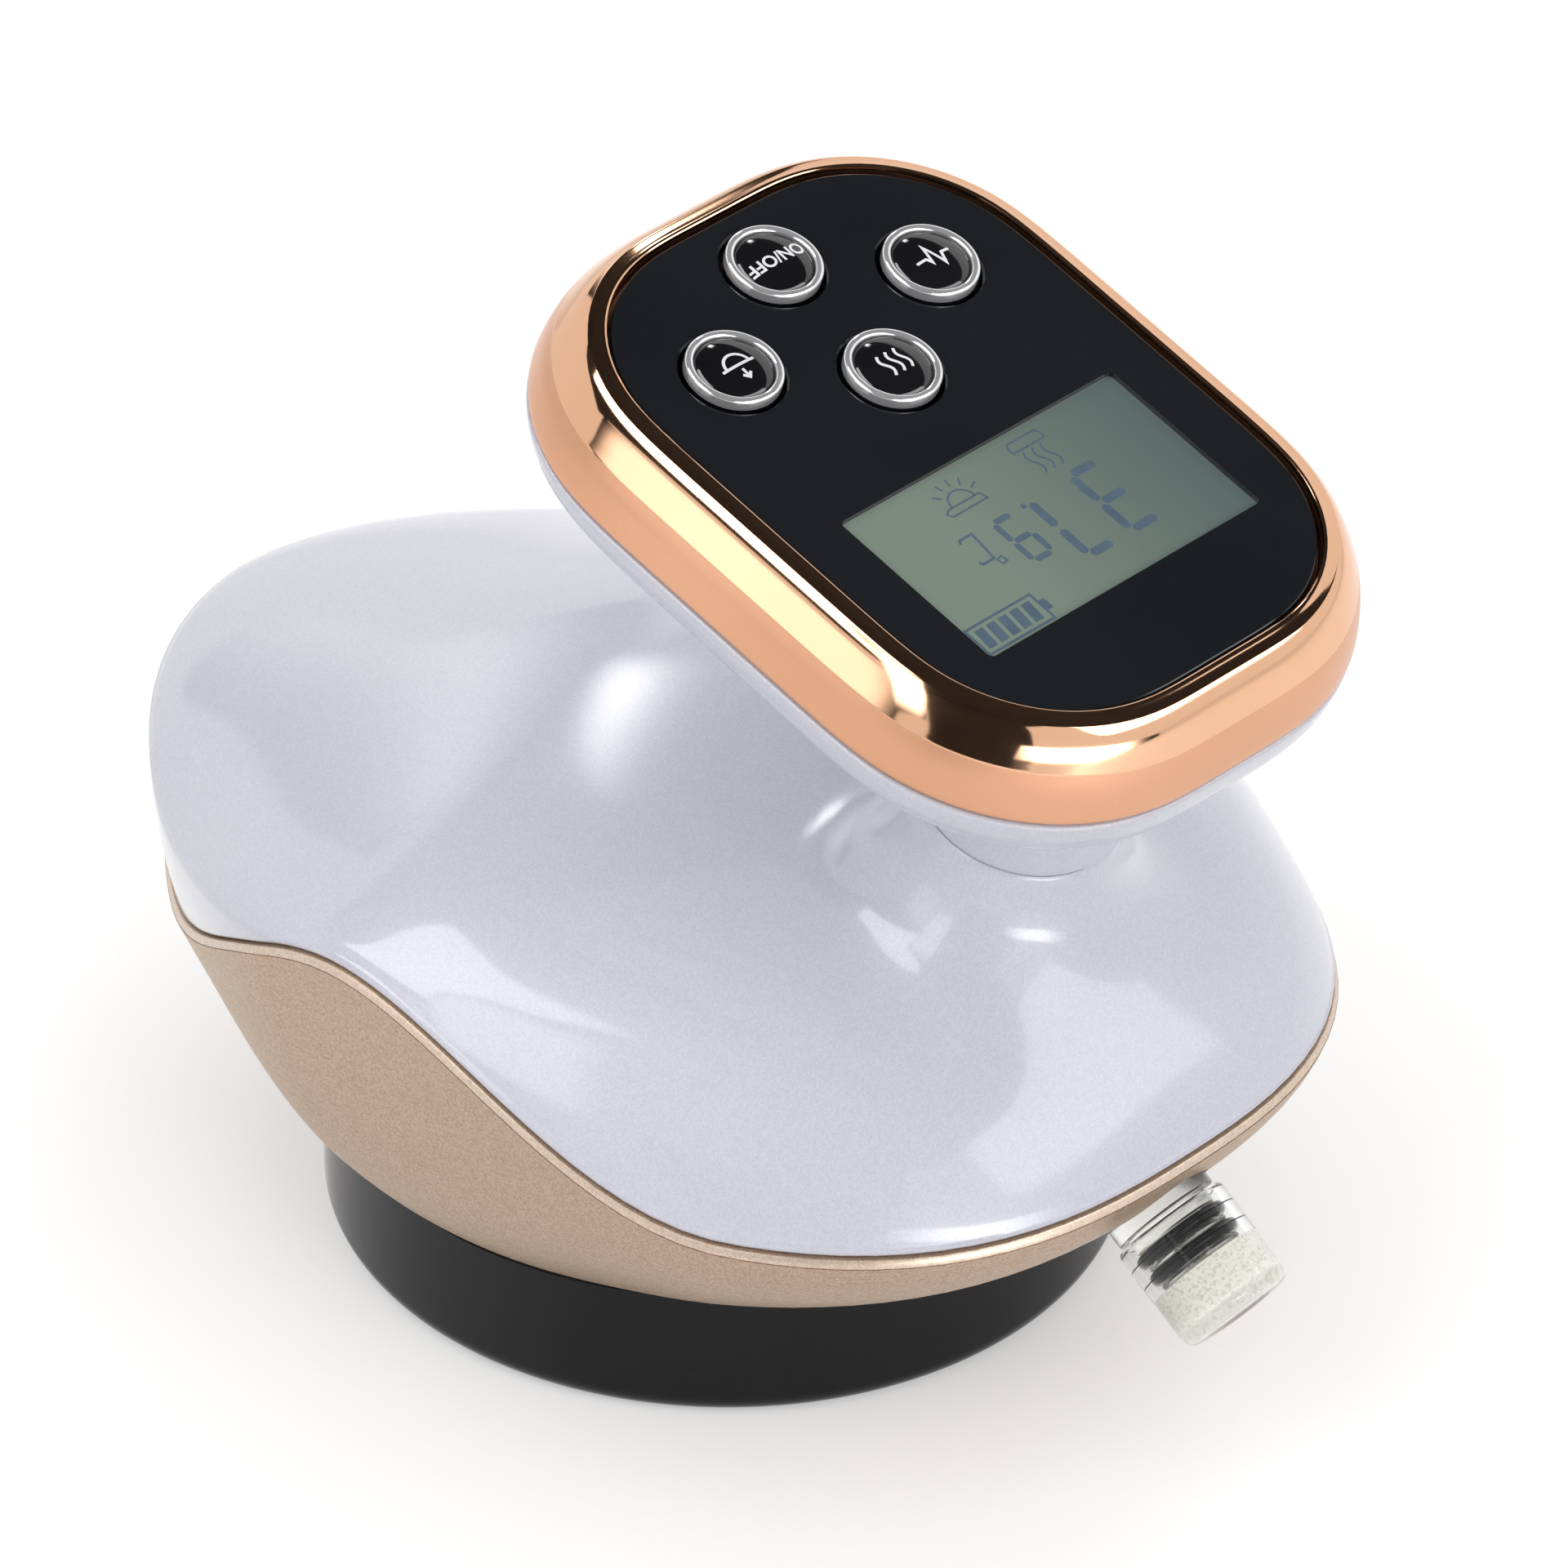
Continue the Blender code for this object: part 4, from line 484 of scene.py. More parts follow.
def smooth_curve(points, steps):
    """Points read from a smooth curve through the given points."""
    points = [Vector(point) for point in points]
    ends = [points[0] * 2 - points[1], *points, points[-1] * 2 - points[-2]]
    curve = []
    for index in range(1, len(ends) - 2):
        before, start, end, after = ends[index - 1 : index + 3]
        for step in range(steps):
            t = step / steps
            first = (end - before) * t
            second = (before * 2 - start * 5 + end * 4 - after) * t * t
            third = (start * 3 - before - end * 3 + after) * t * t * t
            curve.append((start * 2 + first + second + third) / 2)
    curve.append(points[-1])
    return curve


def outline_level(x, y):
    """1 on the outline and less inside it."""
    blend = ease((y - WIDEST_PLACE + POWER_BLEND) / (POWER_BLEND * 2))
    across_power = BACK_ACROSS_POWER + (FRONT_POWER - BACK_ACROSS_POWER) * blend
    if y > WIDEST_PLACE:
        along = ((y - WIDEST_PLACE) / (BODY_FRONT - WIDEST_PLACE)) ** FRONT_POWER
    else:
        along = ((WIDEST_PLACE - y) / (BODY_BACK + WIDEST_PLACE)) ** BACK_ALONG_POWER
    return (abs(x) / BODY_HALF_WIDTH) ** across_power + along


@functools.lru_cache(maxsize=None)
def outline_radius(angle):
    low, high = 0.0, BODY_BACK + BODY_FRONT
    for _ in range(HALVINGS):
        middle = (low + high) / 2
        if outline_level(middle * math.cos(angle), WIDEST_PLACE + middle * math.sin(angle)) < 1:
            low = middle
        else:
            high = middle
    return high


def outline_point(angle):
    reach = outline_radius(angle)
    return Vector((reach * math.cos(angle), WIDEST_PLACE + reach * math.sin(angle), 0.0))


def outline_normal(angle):
    along = outline_point(angle + FINE_TURN) - outline_point(angle - FINE_TURN)
    return Vector((along.y, -along.x, 0.0)).normalized()


def undercut_share(y):
    return ease((-y - UNDERCUT_START) / UNDERCUT_LENGTH)


def length_share(y):
    return (y + BODY_BACK) / (BODY_FRONT + BODY_BACK)


def seam_height(y):
    share = length_share(y)
    start, peak, end = SEAM_PLACE_SHARES
    rise = (SEAM_PEAK_HEIGHT - SEAM_BACK_HEIGHT) * ease((share - start) / (peak - start))
    fall = (SEAM_PEAK_HEIGHT - SEAM_FRONT_HEIGHT) * ease((share - peak) / (end - peak))
    return SEAM_BACK_HEIGHT + rise - fall


def seam_point(angle, out=0.0, up=0.0):
    """A point of the seam, moved out and up."""
    edge = outline_point(angle)
    point = edge + outline_normal(angle) * (out - UNDERCUT_DEPTH * undercut_share(edge.y))
    point.z = seam_height(edge.y) + up
    return point


def crown_height(y):
    start, end = CROWN_PLACE_SHARES
    return HUMP_HEIGHT + (NECK_FOOT_HEIGHT - HUMP_HEIGHT) * ease((length_share(y) - start) / (end - start))


def dome_height(x, y):
    base = seam_height(y) + UNDERCUT_RISE * undercut_share(y)
    backward = ease((CROWN_BLEND_PLACE - y) / CROWN_BLEND)
    power = CROWN_FRONT_POWER + (CROWN_BACK_POWER - CROWN_FRONT_POWER) * backward
    level = min(outline_level(x, y), 1.0)
    return base + (crown_height(y) - base) * (1 - level**power) ** (1 / CROWN_RISE_POWER)


def body_angles():
    turns = [math.tau * step / BODY_FACETS for step in range(BODY_FACETS)]
    return [turn - BACK_CROWDING * math.cos(turn) for turn in turns]


@functools.lru_cache(maxsize=None)
def collar_place(angle, drop=0.0, inset=0.0):
    """The point of the neck's seam that faces the outline's point."""
    toward = outline_point(angle) - HEAD_FRAME @ Vector((0.0, NECK_FORWARD, -NECK_LENGTH))
    turn = math.atan2(toward.y, toward.x)
    radius = NECK_RADIUS - inset
    local = (radius * math.cos(turn), NECK_FORWARD + radius * math.sin(turn), -NECK_LENGTH - drop)
    return tuple(HEAD_FRAME @ Vector(local))


def crown_point(angle, share):
    """A point over the outline (share 0), on the way to the neck's seam (share 1)."""
    rim = outline_point(angle)
    collar = Vector(collar_place(angle))
    x = rim.x + (collar.x - rim.x) * share
    y = rim.y + (collar.y - rim.y) * share
    base = dome_height(x, y)
    away = math.hypot(collar.x - x, collar.y - y)
    rest = max(1 - away / FLARE_WIDTH, 0.0)
    flare = 1 - math.sqrt(1 - rest * rest)
    height = base + (collar.z - dome_height(collar.x, collar.y)) * flare
    lean = math.tan(HEAD_TILT) * (collar.z - height) * flare
    return Vector((x, y - lean, height))


def upper_section(angle):
    """One section of the pearl shell, from inside its lower edge over the crown to the neck."""
    half_gap = GAP / 2
    bevel = EDGE_ROUND * EASED_MIDDLE
    foot = seam_point(angle, 0.0, half_gap)
    edge = crown_point(angle, 0.0)
    edge.z = max(edge.z, foot.z + LEDGE_DROP / 2)
    lower = [(-BODY_WALL, EDGE_ROUND * 2), (-BODY_WALL, half_gap)]
    lower += [(-EDGE_ROUND, half_gap), (-bevel, half_gap + bevel)]
    section = [seam_point(angle, out, up) for out, up in lower]
    for row in range(UNDERCUT_ROWS):
        share = row / UNDERCUT_ROWS
        point = foot.lerp(edge, math.sin(share * math.pi / 2))
        point.z = foot.z + EDGE_ROUND + (edge.z - foot.z - EDGE_ROUND) * share
        section.append(point)
    section.append(edge)
    for row in range(1, CROWN_ROWS):
        t = CROWN_START + (1.0 - CROWN_START) * row / CROWN_ROWS
        point = crown_point(angle, t * t * (3.0 - 2.0 * t) * (1.0 + t) / 2)
        if row < RISING_ROWS:
            point.z = max(point.z, section[-1].z + SKIN)
        section.append(point)
    collar = [(EDGE_ROUND, 0.0), (0.0, EDGE_ROUND), (BODY_WALL, EDGE_ROUND * 2)]
    return section + [Vector(collar_place(angle, drop, inset)) for drop, inset in collar]


def calmed(rings):
    """Evens out the hump's fine ripples, back from the neck's flare."""
    first, last = UNDERCUT_ROWS + CALM_FIRST_ROWS, len(rings) - CALM_LAST_ROWS
    for _ in range(CALM_ROUNDS):
        fresh = [list(ring) for ring in rings]
        for row in range(first, last):
            for step, point in enumerate(rings[row]):
                near = rings[row][step - 1] + rings[row][step + 1 - BODY_FACETS]
                near += rings[row - 1][step] + rings[row + 1][step]
                weight = CALM_WEIGHT * ease((row - first) / CALM_FIRST_ROWS)
                weight *= ease((CALM_PLACE - point.y) / CALM_BLEND)
                fresh[row][step] = point.lerp(near / 4, weight)
        rings = fresh
    return rings


def build_upper_shell():
    rings = calmed([list(ring) for ring in zip(*map(upper_section, body_angles()))])
    add_piece("pearl_shell", loft(rings), "pearl_white_plastic", ["upper_shell"], sharp=SHELL_SHARP_TURN)


def bowl_knee(angle, shares):
    front, side, back = shares
    end = front if math.sin(angle) > 0 else back
    return side + (end - side) * math.sin(angle) ** 2


def bowl_curve(angle, foot, rim, rows):
    """The bowl's side from its foot to its rim, bent towards one knee."""
    knee = foot.lerp(rim, bowl_knee(angle, BOWL_OUT_SHARES))
    knee.z = foot.z + (rim.z - foot.z) * bowl_knee(angle, BOWL_UP_SHARES)
    shares = [row / rows for row in range(rows + 1)]
    return [foot * (1 - t) ** 2 + knee * 2 * t * (1 - t) + rim * t * t for t in shares]


def bowl_section(angle, out, drop, base_radius):
    """Points of the bowl's side, from the cup's shoulder up to the seam."""
    rim = seam_point(angle, out, -drop)
    turn = math.atan2(rim.y, rim.x)
    foot = Vector((base_radius * math.cos(turn), base_radius * math.sin(turn), CUP_SHOULDER_HEIGHT + GAP))
    return bowl_curve(angle, foot, rim, BOWL_ROWS)


def inlet_matrix():
    """Frame of the charging inlet: Z runs out of the bowl's back, as in the CAD's own section."""
    rim = seam_point(-math.pi / 2, LEDGE, -LEDGE)
    foot = Vector((0.0, -CUP_RADIUS - GAP, CUP_SHOULDER_HEIGHT + GAP))
    section = bowl_curve(-math.pi / 2, foot, rim, CAD_BOWL_ROWS)
    place = CAD_BOWL_ROWS * INLET_UP_SHARE
    low, high = section[int(place)], section[int(place) + 1]
    point = low.lerp(high, place - int(place))
    up = (high - low).normalized()
    out = Vector((1.0, 0.0, 0.0)).cross(up)
    return Matrix.Translation(point) @ Matrix((up.cross(out), up, out)).transposed().to_4x4()


def build_lower_shell():
    """Gold bowl with a strip under the seam in a lighter gold as painted highlight, and holes for the port
    and the inlet.
    """
    sections = []
    base = CUP_RADIUS + GAP
    for angle in body_angles():
        outer = bowl_section(angle, LEDGE, LEDGE_DROP, base)
        lip = [seam_point(angle, out * LEDGE, -down * LEDGE_DROP) for out, down in LIP_SHARES]
        lip += [seam_point(angle, out, -GAP / 2) for out in (-LEDGE * LIP_INNER_SHARE, -BODY_WALL)]
        inner = bowl_section(angle, -BODY_WALL, LEDGE_DROP + BODY_WALL, base - BODY_WALL)
        sections.append([*outer, *lip, *reversed(inner)])
    shape = loft([list(ring) for ring in zip(*sections)], closed=True)
    shell = add_piece("gold_bowl", shape, "champagne_paint", ["lower_shell"])
    lip_row = BOWL_ROWS + 1
    first, last = lip_row + STRIP_START_ROW, lip_row + len(LIP_SHARES)
    # Strip under the seam in a lighter gold: a painted highlight along the chamfer.
    add_look(shell, "bright_strip", first * BODY_FACETS, last * BODY_FACETS)
    shaft, flange, seat = PORT_SHAFT_RADIUS + GAP, PORT_FLANGE_RADIUS + GAP, -PORT_SINK - GAP
    reach = INLET_LENGTH
    profile = [(0.0, -reach), (shaft, -reach), (shaft, seat), (flange, seat), (flange, reach), (0.0, reach)]
    cut(shell, turned(profile), COLLECTOR_FRAME)
    wide, tall = INLET_HALF_WIDTH + GAP, INLET_HALF_HEIGHT + GAP
    cut(shell, slab(wide, tall, -reach, reach, tall), inlet_matrix())


def build_suction_cup():
    """Black cup with a rounded rim, a hollow with a roof, and the roof's holes."""
    chamber = CUP_RADIUS - CUP_WALL
    step_radius = chamber + ELECTRODE_WIDTH
    step_height = ELECTRODE_RECESS + ELECTRODE_DEPTH + GAP
    spigot = CUP_RADIUS - CUP_SPIGOT_STEP
    lens = LENS_RADIUS + GAP
    roof_low = ROOF_HEIGHT - ROOF_THICKNESS
    edge = EDGE_ROUND
    profile = [(CUP_RADIUS - edge, CUP_SHOULDER_HEIGHT), (CUP_RADIUS, CUP_SHOULDER_HEIGHT - edge)]
    profile += [(CUP_RADIUS, CUP_SHOULDER_HEIGHT * share) for share in CUP_SIDE_SHARES]
    profile += arc((CUP_RADIUS - CUP_RIM_ROUND, CUP_RIM_ROUND), CUP_RIM_ROUND, 0.0, -90.0, CUP_RIM_STEPS)
    profile += [(step_radius + edge / 2, 0.0), (step_radius, edge / 2), (step_radius, step_height)]
    profile += [(chamber, step_height)]
    corner = (chamber - CHAMBER_ROUND, roof_low - CHAMBER_ROUND)
    profile += arc(corner, CHAMBER_ROUND, 0.0, 90.0, CHAMBER_STEPS)
    profile += [(lens + edge, roof_low), (lens, roof_low + edge), (lens, ROOF_HEIGHT)]
    profile += [(spigot, ROOF_HEIGHT), (spigot, CUP_SHOULDER_HEIGHT)]
    cup = add_piece("black_cup", turned(profile, CUP_FACETS, closed=True), "black_gloss", ["suction_cup"])
    holes = [(NOZZLE_RADIUS + GAP, (0.0, NOZZLE_PLACE)), (VALVE_BORE, VALVE_PLACE)]
    holes += [(SCREW_BORE, (x * SCREW_PLACE[0], y * SCREW_PLACE[1])) for x in (-1, 1) for y in (-1, 1)]
    cutters = []
    for radius, centre in holes:
        rings = [circle_ring(radius, z, HOLE_FACETS, centre) for z in (roof_low - GAP, ROOF_HEIGHT + GAP)]
        cutters.append(loft(rings, capped=True))
    cut(cup, merged(cutters))


def build_electrode():
    """Steel ring let into the rim, with eased edges."""
    inner = CUP_RADIUS - CUP_WALL + GAP
    outer = CUP_RADIUS - CUP_WALL + ELECTRODE_WIDTH - GAP
    low, high = ELECTRODE_RECESS, ELECTRODE_RECESS + ELECTRODE_DEPTH
    edge = (outer - inner) / 4
    profile = [(outer, high), *arc((outer - edge, low + edge), edge, 0.0, -90.0, ELECTRODE_STEPS)]
    profile += [*arc((inner + edge, low + edge), edge, -90.0, -180.0, ELECTRODE_STEPS), (inner, high)]
    add_piece("electrode", turned(profile, CUP_FACETS, closed=True), "steel", ["electrode_ring"])


def panel_ring(inset, height):
    """A ring parallel to the panel's edge. A negative inset lies outside it."""
    corner = max(PANEL_CORNER - inset, GAP)
    ring = rounded_ring(PANEL_HALF_WIDTH - inset, PANEL_HALF_LENGTH - inset, corner, height)
    for _ in range(CORNER_SOFTENING):
        beside = [ring[step - 1] + ring[step + 1 - len(ring)] for step in range(len(ring))]
        ring = [point * 0.5 + both * 0.25 for point, both in zip(ring, beside)]
    return ring


def bezel_curve(table, steps):
    """Part of the bezel's section, from shares of its width and depth."""
    return smooth_curve([(-BEZEL_WIDTH * out, -BEZEL_DEPTH * down, 0.0) for out, down in table], steps)


def build_bezel():
    """Chrome frame: satin side band, mirror top with its edge, and the seat under the panel."""
    band = bezel_curve(BEZEL_BAND, BEZEL_BAND_STEPS)
    top = bezel_curve(BEZEL_TOP, BEZEL_TOP_STEPS)
    lip = GAP / 2
    inside = [(-lip, 0.0), (-lip, -PANEL_THICKNESS), (BEZEL_SEAT, -PANEL_THICKNESS - GAP)]
    inside += [(BEZEL_SEAT, -PANEL_THICKNESS - BEZEL_SEAT), (-BEZEL_SKIRT, -PANEL_THICKNESS - BEZEL_SEAT * 2)]
    inside += [(-BEZEL_WIDTH + BEZEL_SKIRT, -BEZEL_DEPTH)]
    profile = [point.xy for point in band + top] + [Vector(point) for point in inside]
    rings = [panel_ring(inset, height) for inset, height in profile]
    bezel = add_piece("rose_bezel", loft(rings, closed=True), "rose_gold_chrome", ["bezel"], HEAD_FRAME)
    count = len(rings[0])
    add_look(bezel, "rose_mirror", (len(band) - 1) * count, (len(band) + len(top) + 1) * count)


def build_panel():
    """Glossy black plate with eased edges, a window and four button holes."""
    edge = PANEL_BEVEL
    bevel = edge * EASED_MIDDLE
    profile = [(GAP + edge, -PANEL_THICKNESS), (GAP, -PANEL_THICKNESS + edge), (GAP, -edge)]
    profile += [(GAP + bevel, -bevel), (GAP + edge, 0.0)]
    shape = loft([panel_ring(inset, height) for inset, height in profile], capped=True)
    panel = add_piece("black_panel", shape, "black_acrylic", ["control_panel"], HEAD_FRAME)
    low, high = -PANEL_THICKNESS - GAP, GAP
    hole = BUTTON_RADIUS + BUTTON_CLEARANCE
    profile = [(0.0, low), (hole, low), (hole, -edge), (hole + edge, 0.0)]
    profile += [(hole + edge + GAP, high), (0.0, high)]
    cutters = [turned(profile, centre=place) for place in BUTTON_PLACES.values()]
    centre = (0.0, WINDOW_FORWARD)
    cutters.append(slab(WINDOW_WIDTH / 2, WINDOW_LENGTH / 2, low, high, WINDOW_CORNER, centre))
    cut(panel, merged(cutters), HEAD_FRAME)
    facing = HEAD_FRAME.to_3x3() @ Vector((0.0, 0.0, 1.0))
    for polygon in panel.data.polygons:
        polygon.use_smooth = abs(polygon.normal.dot(facing)) < FLAT_SHARE


def stroke(points, width, closed=False):
    """A line of even width as flat outlines, one for each stretch, with mitred joints."""
    points = [Vector(point) for point in points]
    count = len(points)
    sides = []
    for index, point in enumerate(points):
        before = points[index - 1] if index or closed else None
        after = points[(index + 1) % count] if index < count - 1 or closed else None
        ways = [way.normalized() for way in (before and point - before, after and after - point) if way]
        way = sum(ways, Vector((0.0, 0.0))).normalized()
        reach = width / 2 / max(way.dot(ways[0]), MITRE_LIMIT)
        across = Vector((-way.y, way.x)) * reach
        sides.append((point + across, point - across))
    pairs = list(zip(sides, sides[1:]))
    if closed:
        pairs.append((sides[-1], sides[0]))
    return [[a[0], a[1], b[1], b[0]] for a, b in pairs]


def raised(outlines, thickness, level, finest=None):
    """Flat outlines as thin plates on a surface of the given level."""
    shape = bmesh.new()
    for outline in outlines:
        low = [shape.verts.new((x, y, 0.0)) for x, y in outline]
        high = [shape.verts.new((x, y, thickness)) for x, y in outline]
        shape.faces.new(high)
        shape.faces.new(list(reversed(low)))
        for step in range(len(low)):
            after = (step + 1) % len(low)
            shape.faces.new((low[step], low[after], high[after], high[step]))
    bmesh.ops.recalc_face_normals(shape, faces=shape.faces)
    while finest:
        bmesh.ops.triangulate(shape, faces=shape.faces)
        long_edges = [edge for edge in shape.edges if edge.calc_length() > finest]
        if not long_edges:
            break
        bmesh.ops.subdivide_edges(shape, edges=long_edges, cuts=1)
    for vertex in shape.verts:
        vertex.co.z += level(vertex.co.x, vertex.co.y)
    return shape


def bar(start, end, width, point):
    """A display segment with pointed ends."""
    start, end = Vector(start), Vector(end)
    way = (end - start).normalized()
    across = Vector((-way.y, way.x)) * width / 2
    inner, outer = start + way * point, end - way * point
    return [start, inner + across, outer + across, end, outer - across, inner - across]


def digit(segments, left, low, width, height, thick):
    """The lit segments of one seven-segment digit, as the letters a to g say."""
    right, top, middle = left + width, low + height, low + height / 2
    slack = thick * SEGMENT_GAP_SHARE
    ends = {
        "a": ((left + slack, top), (right - slack, top)),
        "b": ((right, top - slack), (right, middle + slack)),
        "c": ((right, middle - slack), (right, low + slack)),
        "d": ((left + slack, low), (right - slack, low)),
        "e": ((left, middle - slack), (left, low + slack)),
        "f": ((left, top - slack), (left, middle + slack)),
        "g": ((left + slack, middle), (right - slack, middle)),
    }
    return [bar(*ends[name], thick, thick * SEGMENT_POINT_SHARE) for name in segments]


def box_outline(left, low, right, high):
    return [(left, low), (right, low), (right, high), (left, high)]


def battery_sign():
    """Battery with five bars."""
    outlines = stroke(box_outline(*BATTERY_CASE), BATTERY_STROKE, True)
    outlines.append(box_outline(*BATTERY_TIP))
    for number in range(5):
        left = BATTERY_BAR_START + BATTERY_BAR_STEP * number
        outlines.append([(left + x, y) for x, y in BATTERY_BAR])
    return outlines


def lamp_sign():
    """Lamp with rays, pointing down."""
    outlines = stroke(LAMP_BASE, FINE_STROKE, True)
    outlines += stroke(arc(LAMP_MIDDLE, LAMP_RADIUS, 180.0, 360.0, LAMP_STEPS), FINE_STROKE)
    for turn in LAMP_RAY_TURNS:
        ray = [arc(LAMP_MIDDLE, reach, turn, turn, 1)[0] for reach in LAMP_RAY_REACHES]
        outlines += stroke(ray, FINE_STROKE)
    return outlines


def wave(x, low, height):
    shares = [step / WAVE_STEPS for step in range(WAVE_STEPS + 1)]
    return [(x + WAVE_SWING * height * math.sin(math.tau * t), low + height * t) for t in shares]


def heat_sign():
    """Plate with three waves of heat rising from it."""
    left, low = HEAT_PLACE
    outlines = stroke([(left + x, low + y) for x, y in HEAT_PLATE], FINE_STROKE, True)
    for x in HEAT_WAVE_PLACES:
        outlines += stroke(wave(left + x, low + HEAT_WAVE_START, HEAT_WAVE_HEIGHT), FINE_STROKE)
    return outlines


def unit_sign():
    """Small square degree sign and a thin C."""
    return stroke(DEGREE_SIGN, FINE_STROKE, True) + stroke(UNIT_LETTER, UNIT_STROKE)


def build_display():
    """Display: a glass face let into the panel, and the signs on it."""
    wide, tall = WINDOW_WIDTH / 2 - SKIN, WINDOW_LENGTH / 2 - SKIN
    face = slab(wide, tall, -DISPLAY_DEPTH, -WINDOW_SINK, WINDOW_CORNER, (0.0, WINDOW_FORWARD))
    add_piece("display_face", face, "lcd_glass", ["display_window", "lcd_glass"], HEAD_FRAME)
    signs = [outline for row in DIGITS for outline in digit(*row)] + [box_outline(*DECIMAL_POINT)]
    signs += battery_sign() + lamp_sign() + heat_sign() + unit_sign()
    right, up = LCD_SHIFT
    outlines = [[((x + right) / MILLIMETRES, (y + up) / MILLIMETRES) for x, y in sign] for sign in signs]
    shape = raised(outlines, SKIN, lambda x, y: -WINDOW_SINK - SKIN / 4)
    add_piece("display_signs", shape, "lcd_glass", (), HEAD_FRAME, "display_signs")


def cap_level(radius, x, y):
    """Height of the dome's face at a place."""
    share = min(math.hypot(x, y) / radius, 1.0)
    return DOME_LOW + (DOME_HIGH - DOME_LOW) * math.sqrt(1 - share * share)


def lettering(words):
    """Flat letters as outlines of triangles."""
    curve = bpy.data.curves.new("letters", "FONT")
    curve.body = words
    curve.size = LETTER_SIZE
    curve.offset = LETTER_SPREAD
    curve.align_x, curve.align_y = "CENTER", "CENTER"
    thing = linked("letters", curve)
    mesh = applied_mesh(thing)
    outlines = [[mesh.vertices[index].co.xy for index in polygon.vertices] for polygon in mesh.polygons]
    bpy.data.objects.remove(thing)
    return outlines


def button_mark(name):
    """Generic mark of one button, in metres about its middle."""
    if name == "power":
        return lettering("ON/OFF")
    if name == "heat":
        lines = [wave(x, *MARK_WAVE_SPAN) for x in MARK_WAVE_PLACES]
    elif name == "vacuum":
        lines = [arc(MARK_CUP_MIDDLE, MARK_CUP_RADIUS, 180.0, 360.0, MARK_CUP_STEPS), *MARK_CUP_LINES]
    else:
        lines = [MARK_PULSE]
    outlines = []
    for line in lines:
        outlines += stroke([(x * MARK_SCALE, y * MARK_SCALE) for x, y in line], MARK_STROKE)
    return outlines


def build_button(name, place):
    """Domed cap, chrome ring, dark barrel and the cap's mark, on one button's body."""
    body = name + "_button"
    axis = HEAD_FRAME @ Matrix.Translation((*place, 0.0))
    ring_low = BUTTON_RISE - BUTTON_RING_DEPTH
    inner = BUTTON_RADIUS - BUTTON_RING_WIDTH
    cap = inner - SKIN
    low = -PANEL_THICKNESS - GAP
    rise = DOME_HIGH - DOME_LOW
    profile = [(0.0, low), (BUTTON_RADIUS, low), (BUTTON_RADIUS, ring_low), (cap, ring_low)]
    turns = [math.pi / 2 * step / DOME_STEPS for step in range(DOME_STEPS)]
    profile += [(cap * math.cos(t), DOME_LOW + rise * math.sin(t)) for t in turns] + [(0.0, DOME_HIGH)]
    add_piece(name + "_cap", turned(profile), "black_gloss", [body], axis, "domed_black", body)
    half = BUTTON_RING_WIDTH / 2
    middle, top = (BUTTON_RADIUS + inner) / 2, BUTTON_RISE - half * RING_DROP_SHARE
    turns = [math.pi * step / BUTTON_RING_STEPS for step in range(BUTTON_RING_STEPS + 1)]
    crest = [(middle + half * math.cos(t), top + half * RING_CREST_SHARE * math.sin(t)) for t in turns]
    rim = turned([(BUTTON_RADIUS, ring_low), *crest, (inner, ring_low)], closed=True)
    add_piece(name + "_rim", rim, "silver_chrome", [body + "_ring"], axis, body=body)
    mark = raised(button_mark(name), SKIN * 2, lambda x, y: cap_level(cap, x, y) - SKIN, MARK_MESH)
    add_piece(name + "_mark", mark, "black_gloss", (), axis, "printed_white", body)


def under_shell_ring(inset, share, depth, circle_radius):
    """A ring between the head's outline (share 0) and the neck's circle (share 1)."""
    ring = []
    for point in panel_ring(inset - BEZEL_WIDTH, -depth):
        turn = math.atan2(point.y - NECK_FORWARD, point.x)
        x = circle_radius * math.cos(turn)
        circle = Vector((x, NECK_FORWARD + circle_radius * math.sin(turn), -depth))
        ring.append(point.lerp(circle, share))
    return ring


def build_under_shell():
    """White bowl under the bezel, with the neck column down to its seam."""
    edge = EDGE_ROUND
    bevel = edge * EASED_MIDDLE
    top = BEZEL_DEPTH + GAP
    collar = NECK_LENGTH - edge
    column = top + UNDER_SHELL_DEPTH * NECK_START_SHARE
    table = [Vector((share, top + UNDER_SHELL_DEPTH * fall, 0.0)) for share, fall in UNDER_SHELL_SHARES]
    table.append(Vector((NECK_EASE_SHARE, (column + table[-1].y) / 2, 0.0)))
    table.append(Vector((1.0, column, 0.0)))
    rim = [(UNDER_SHELL_LID, top), (edge, top), (bevel, top + bevel)]
    rings = [under_shell_ring(inset, 0.0, depth, 0.0) for inset, depth in rim]
    for point in smooth_curve(table, UNDER_SHELL_STEPS)[1:]:
        rings.append(under_shell_ring(0.0, min(max(point.x, 0.0), 1.0), point.y, NECK_RADIUS))
    steps = [(collar - NECK_EASE_LENGTH, 0.0), (collar - edge, 0.0), (collar - bevel, bevel), (collar, edge)]
    steps.append((collar + BODY_WALL, NECK_SPIGOT_STEP))
    rings += [under_shell_ring(0.0, 1.0, depth, NECK_RADIUS - inset) for depth, inset in steps]
    bowl = loft(rings, capped=True)
    nodes = ["head_under_shell"]
    add_piece("head_bowl", bowl, "pearl_white_plastic", nodes, HEAD_FRAME, sharp=HEAD_SHARP_TURN)


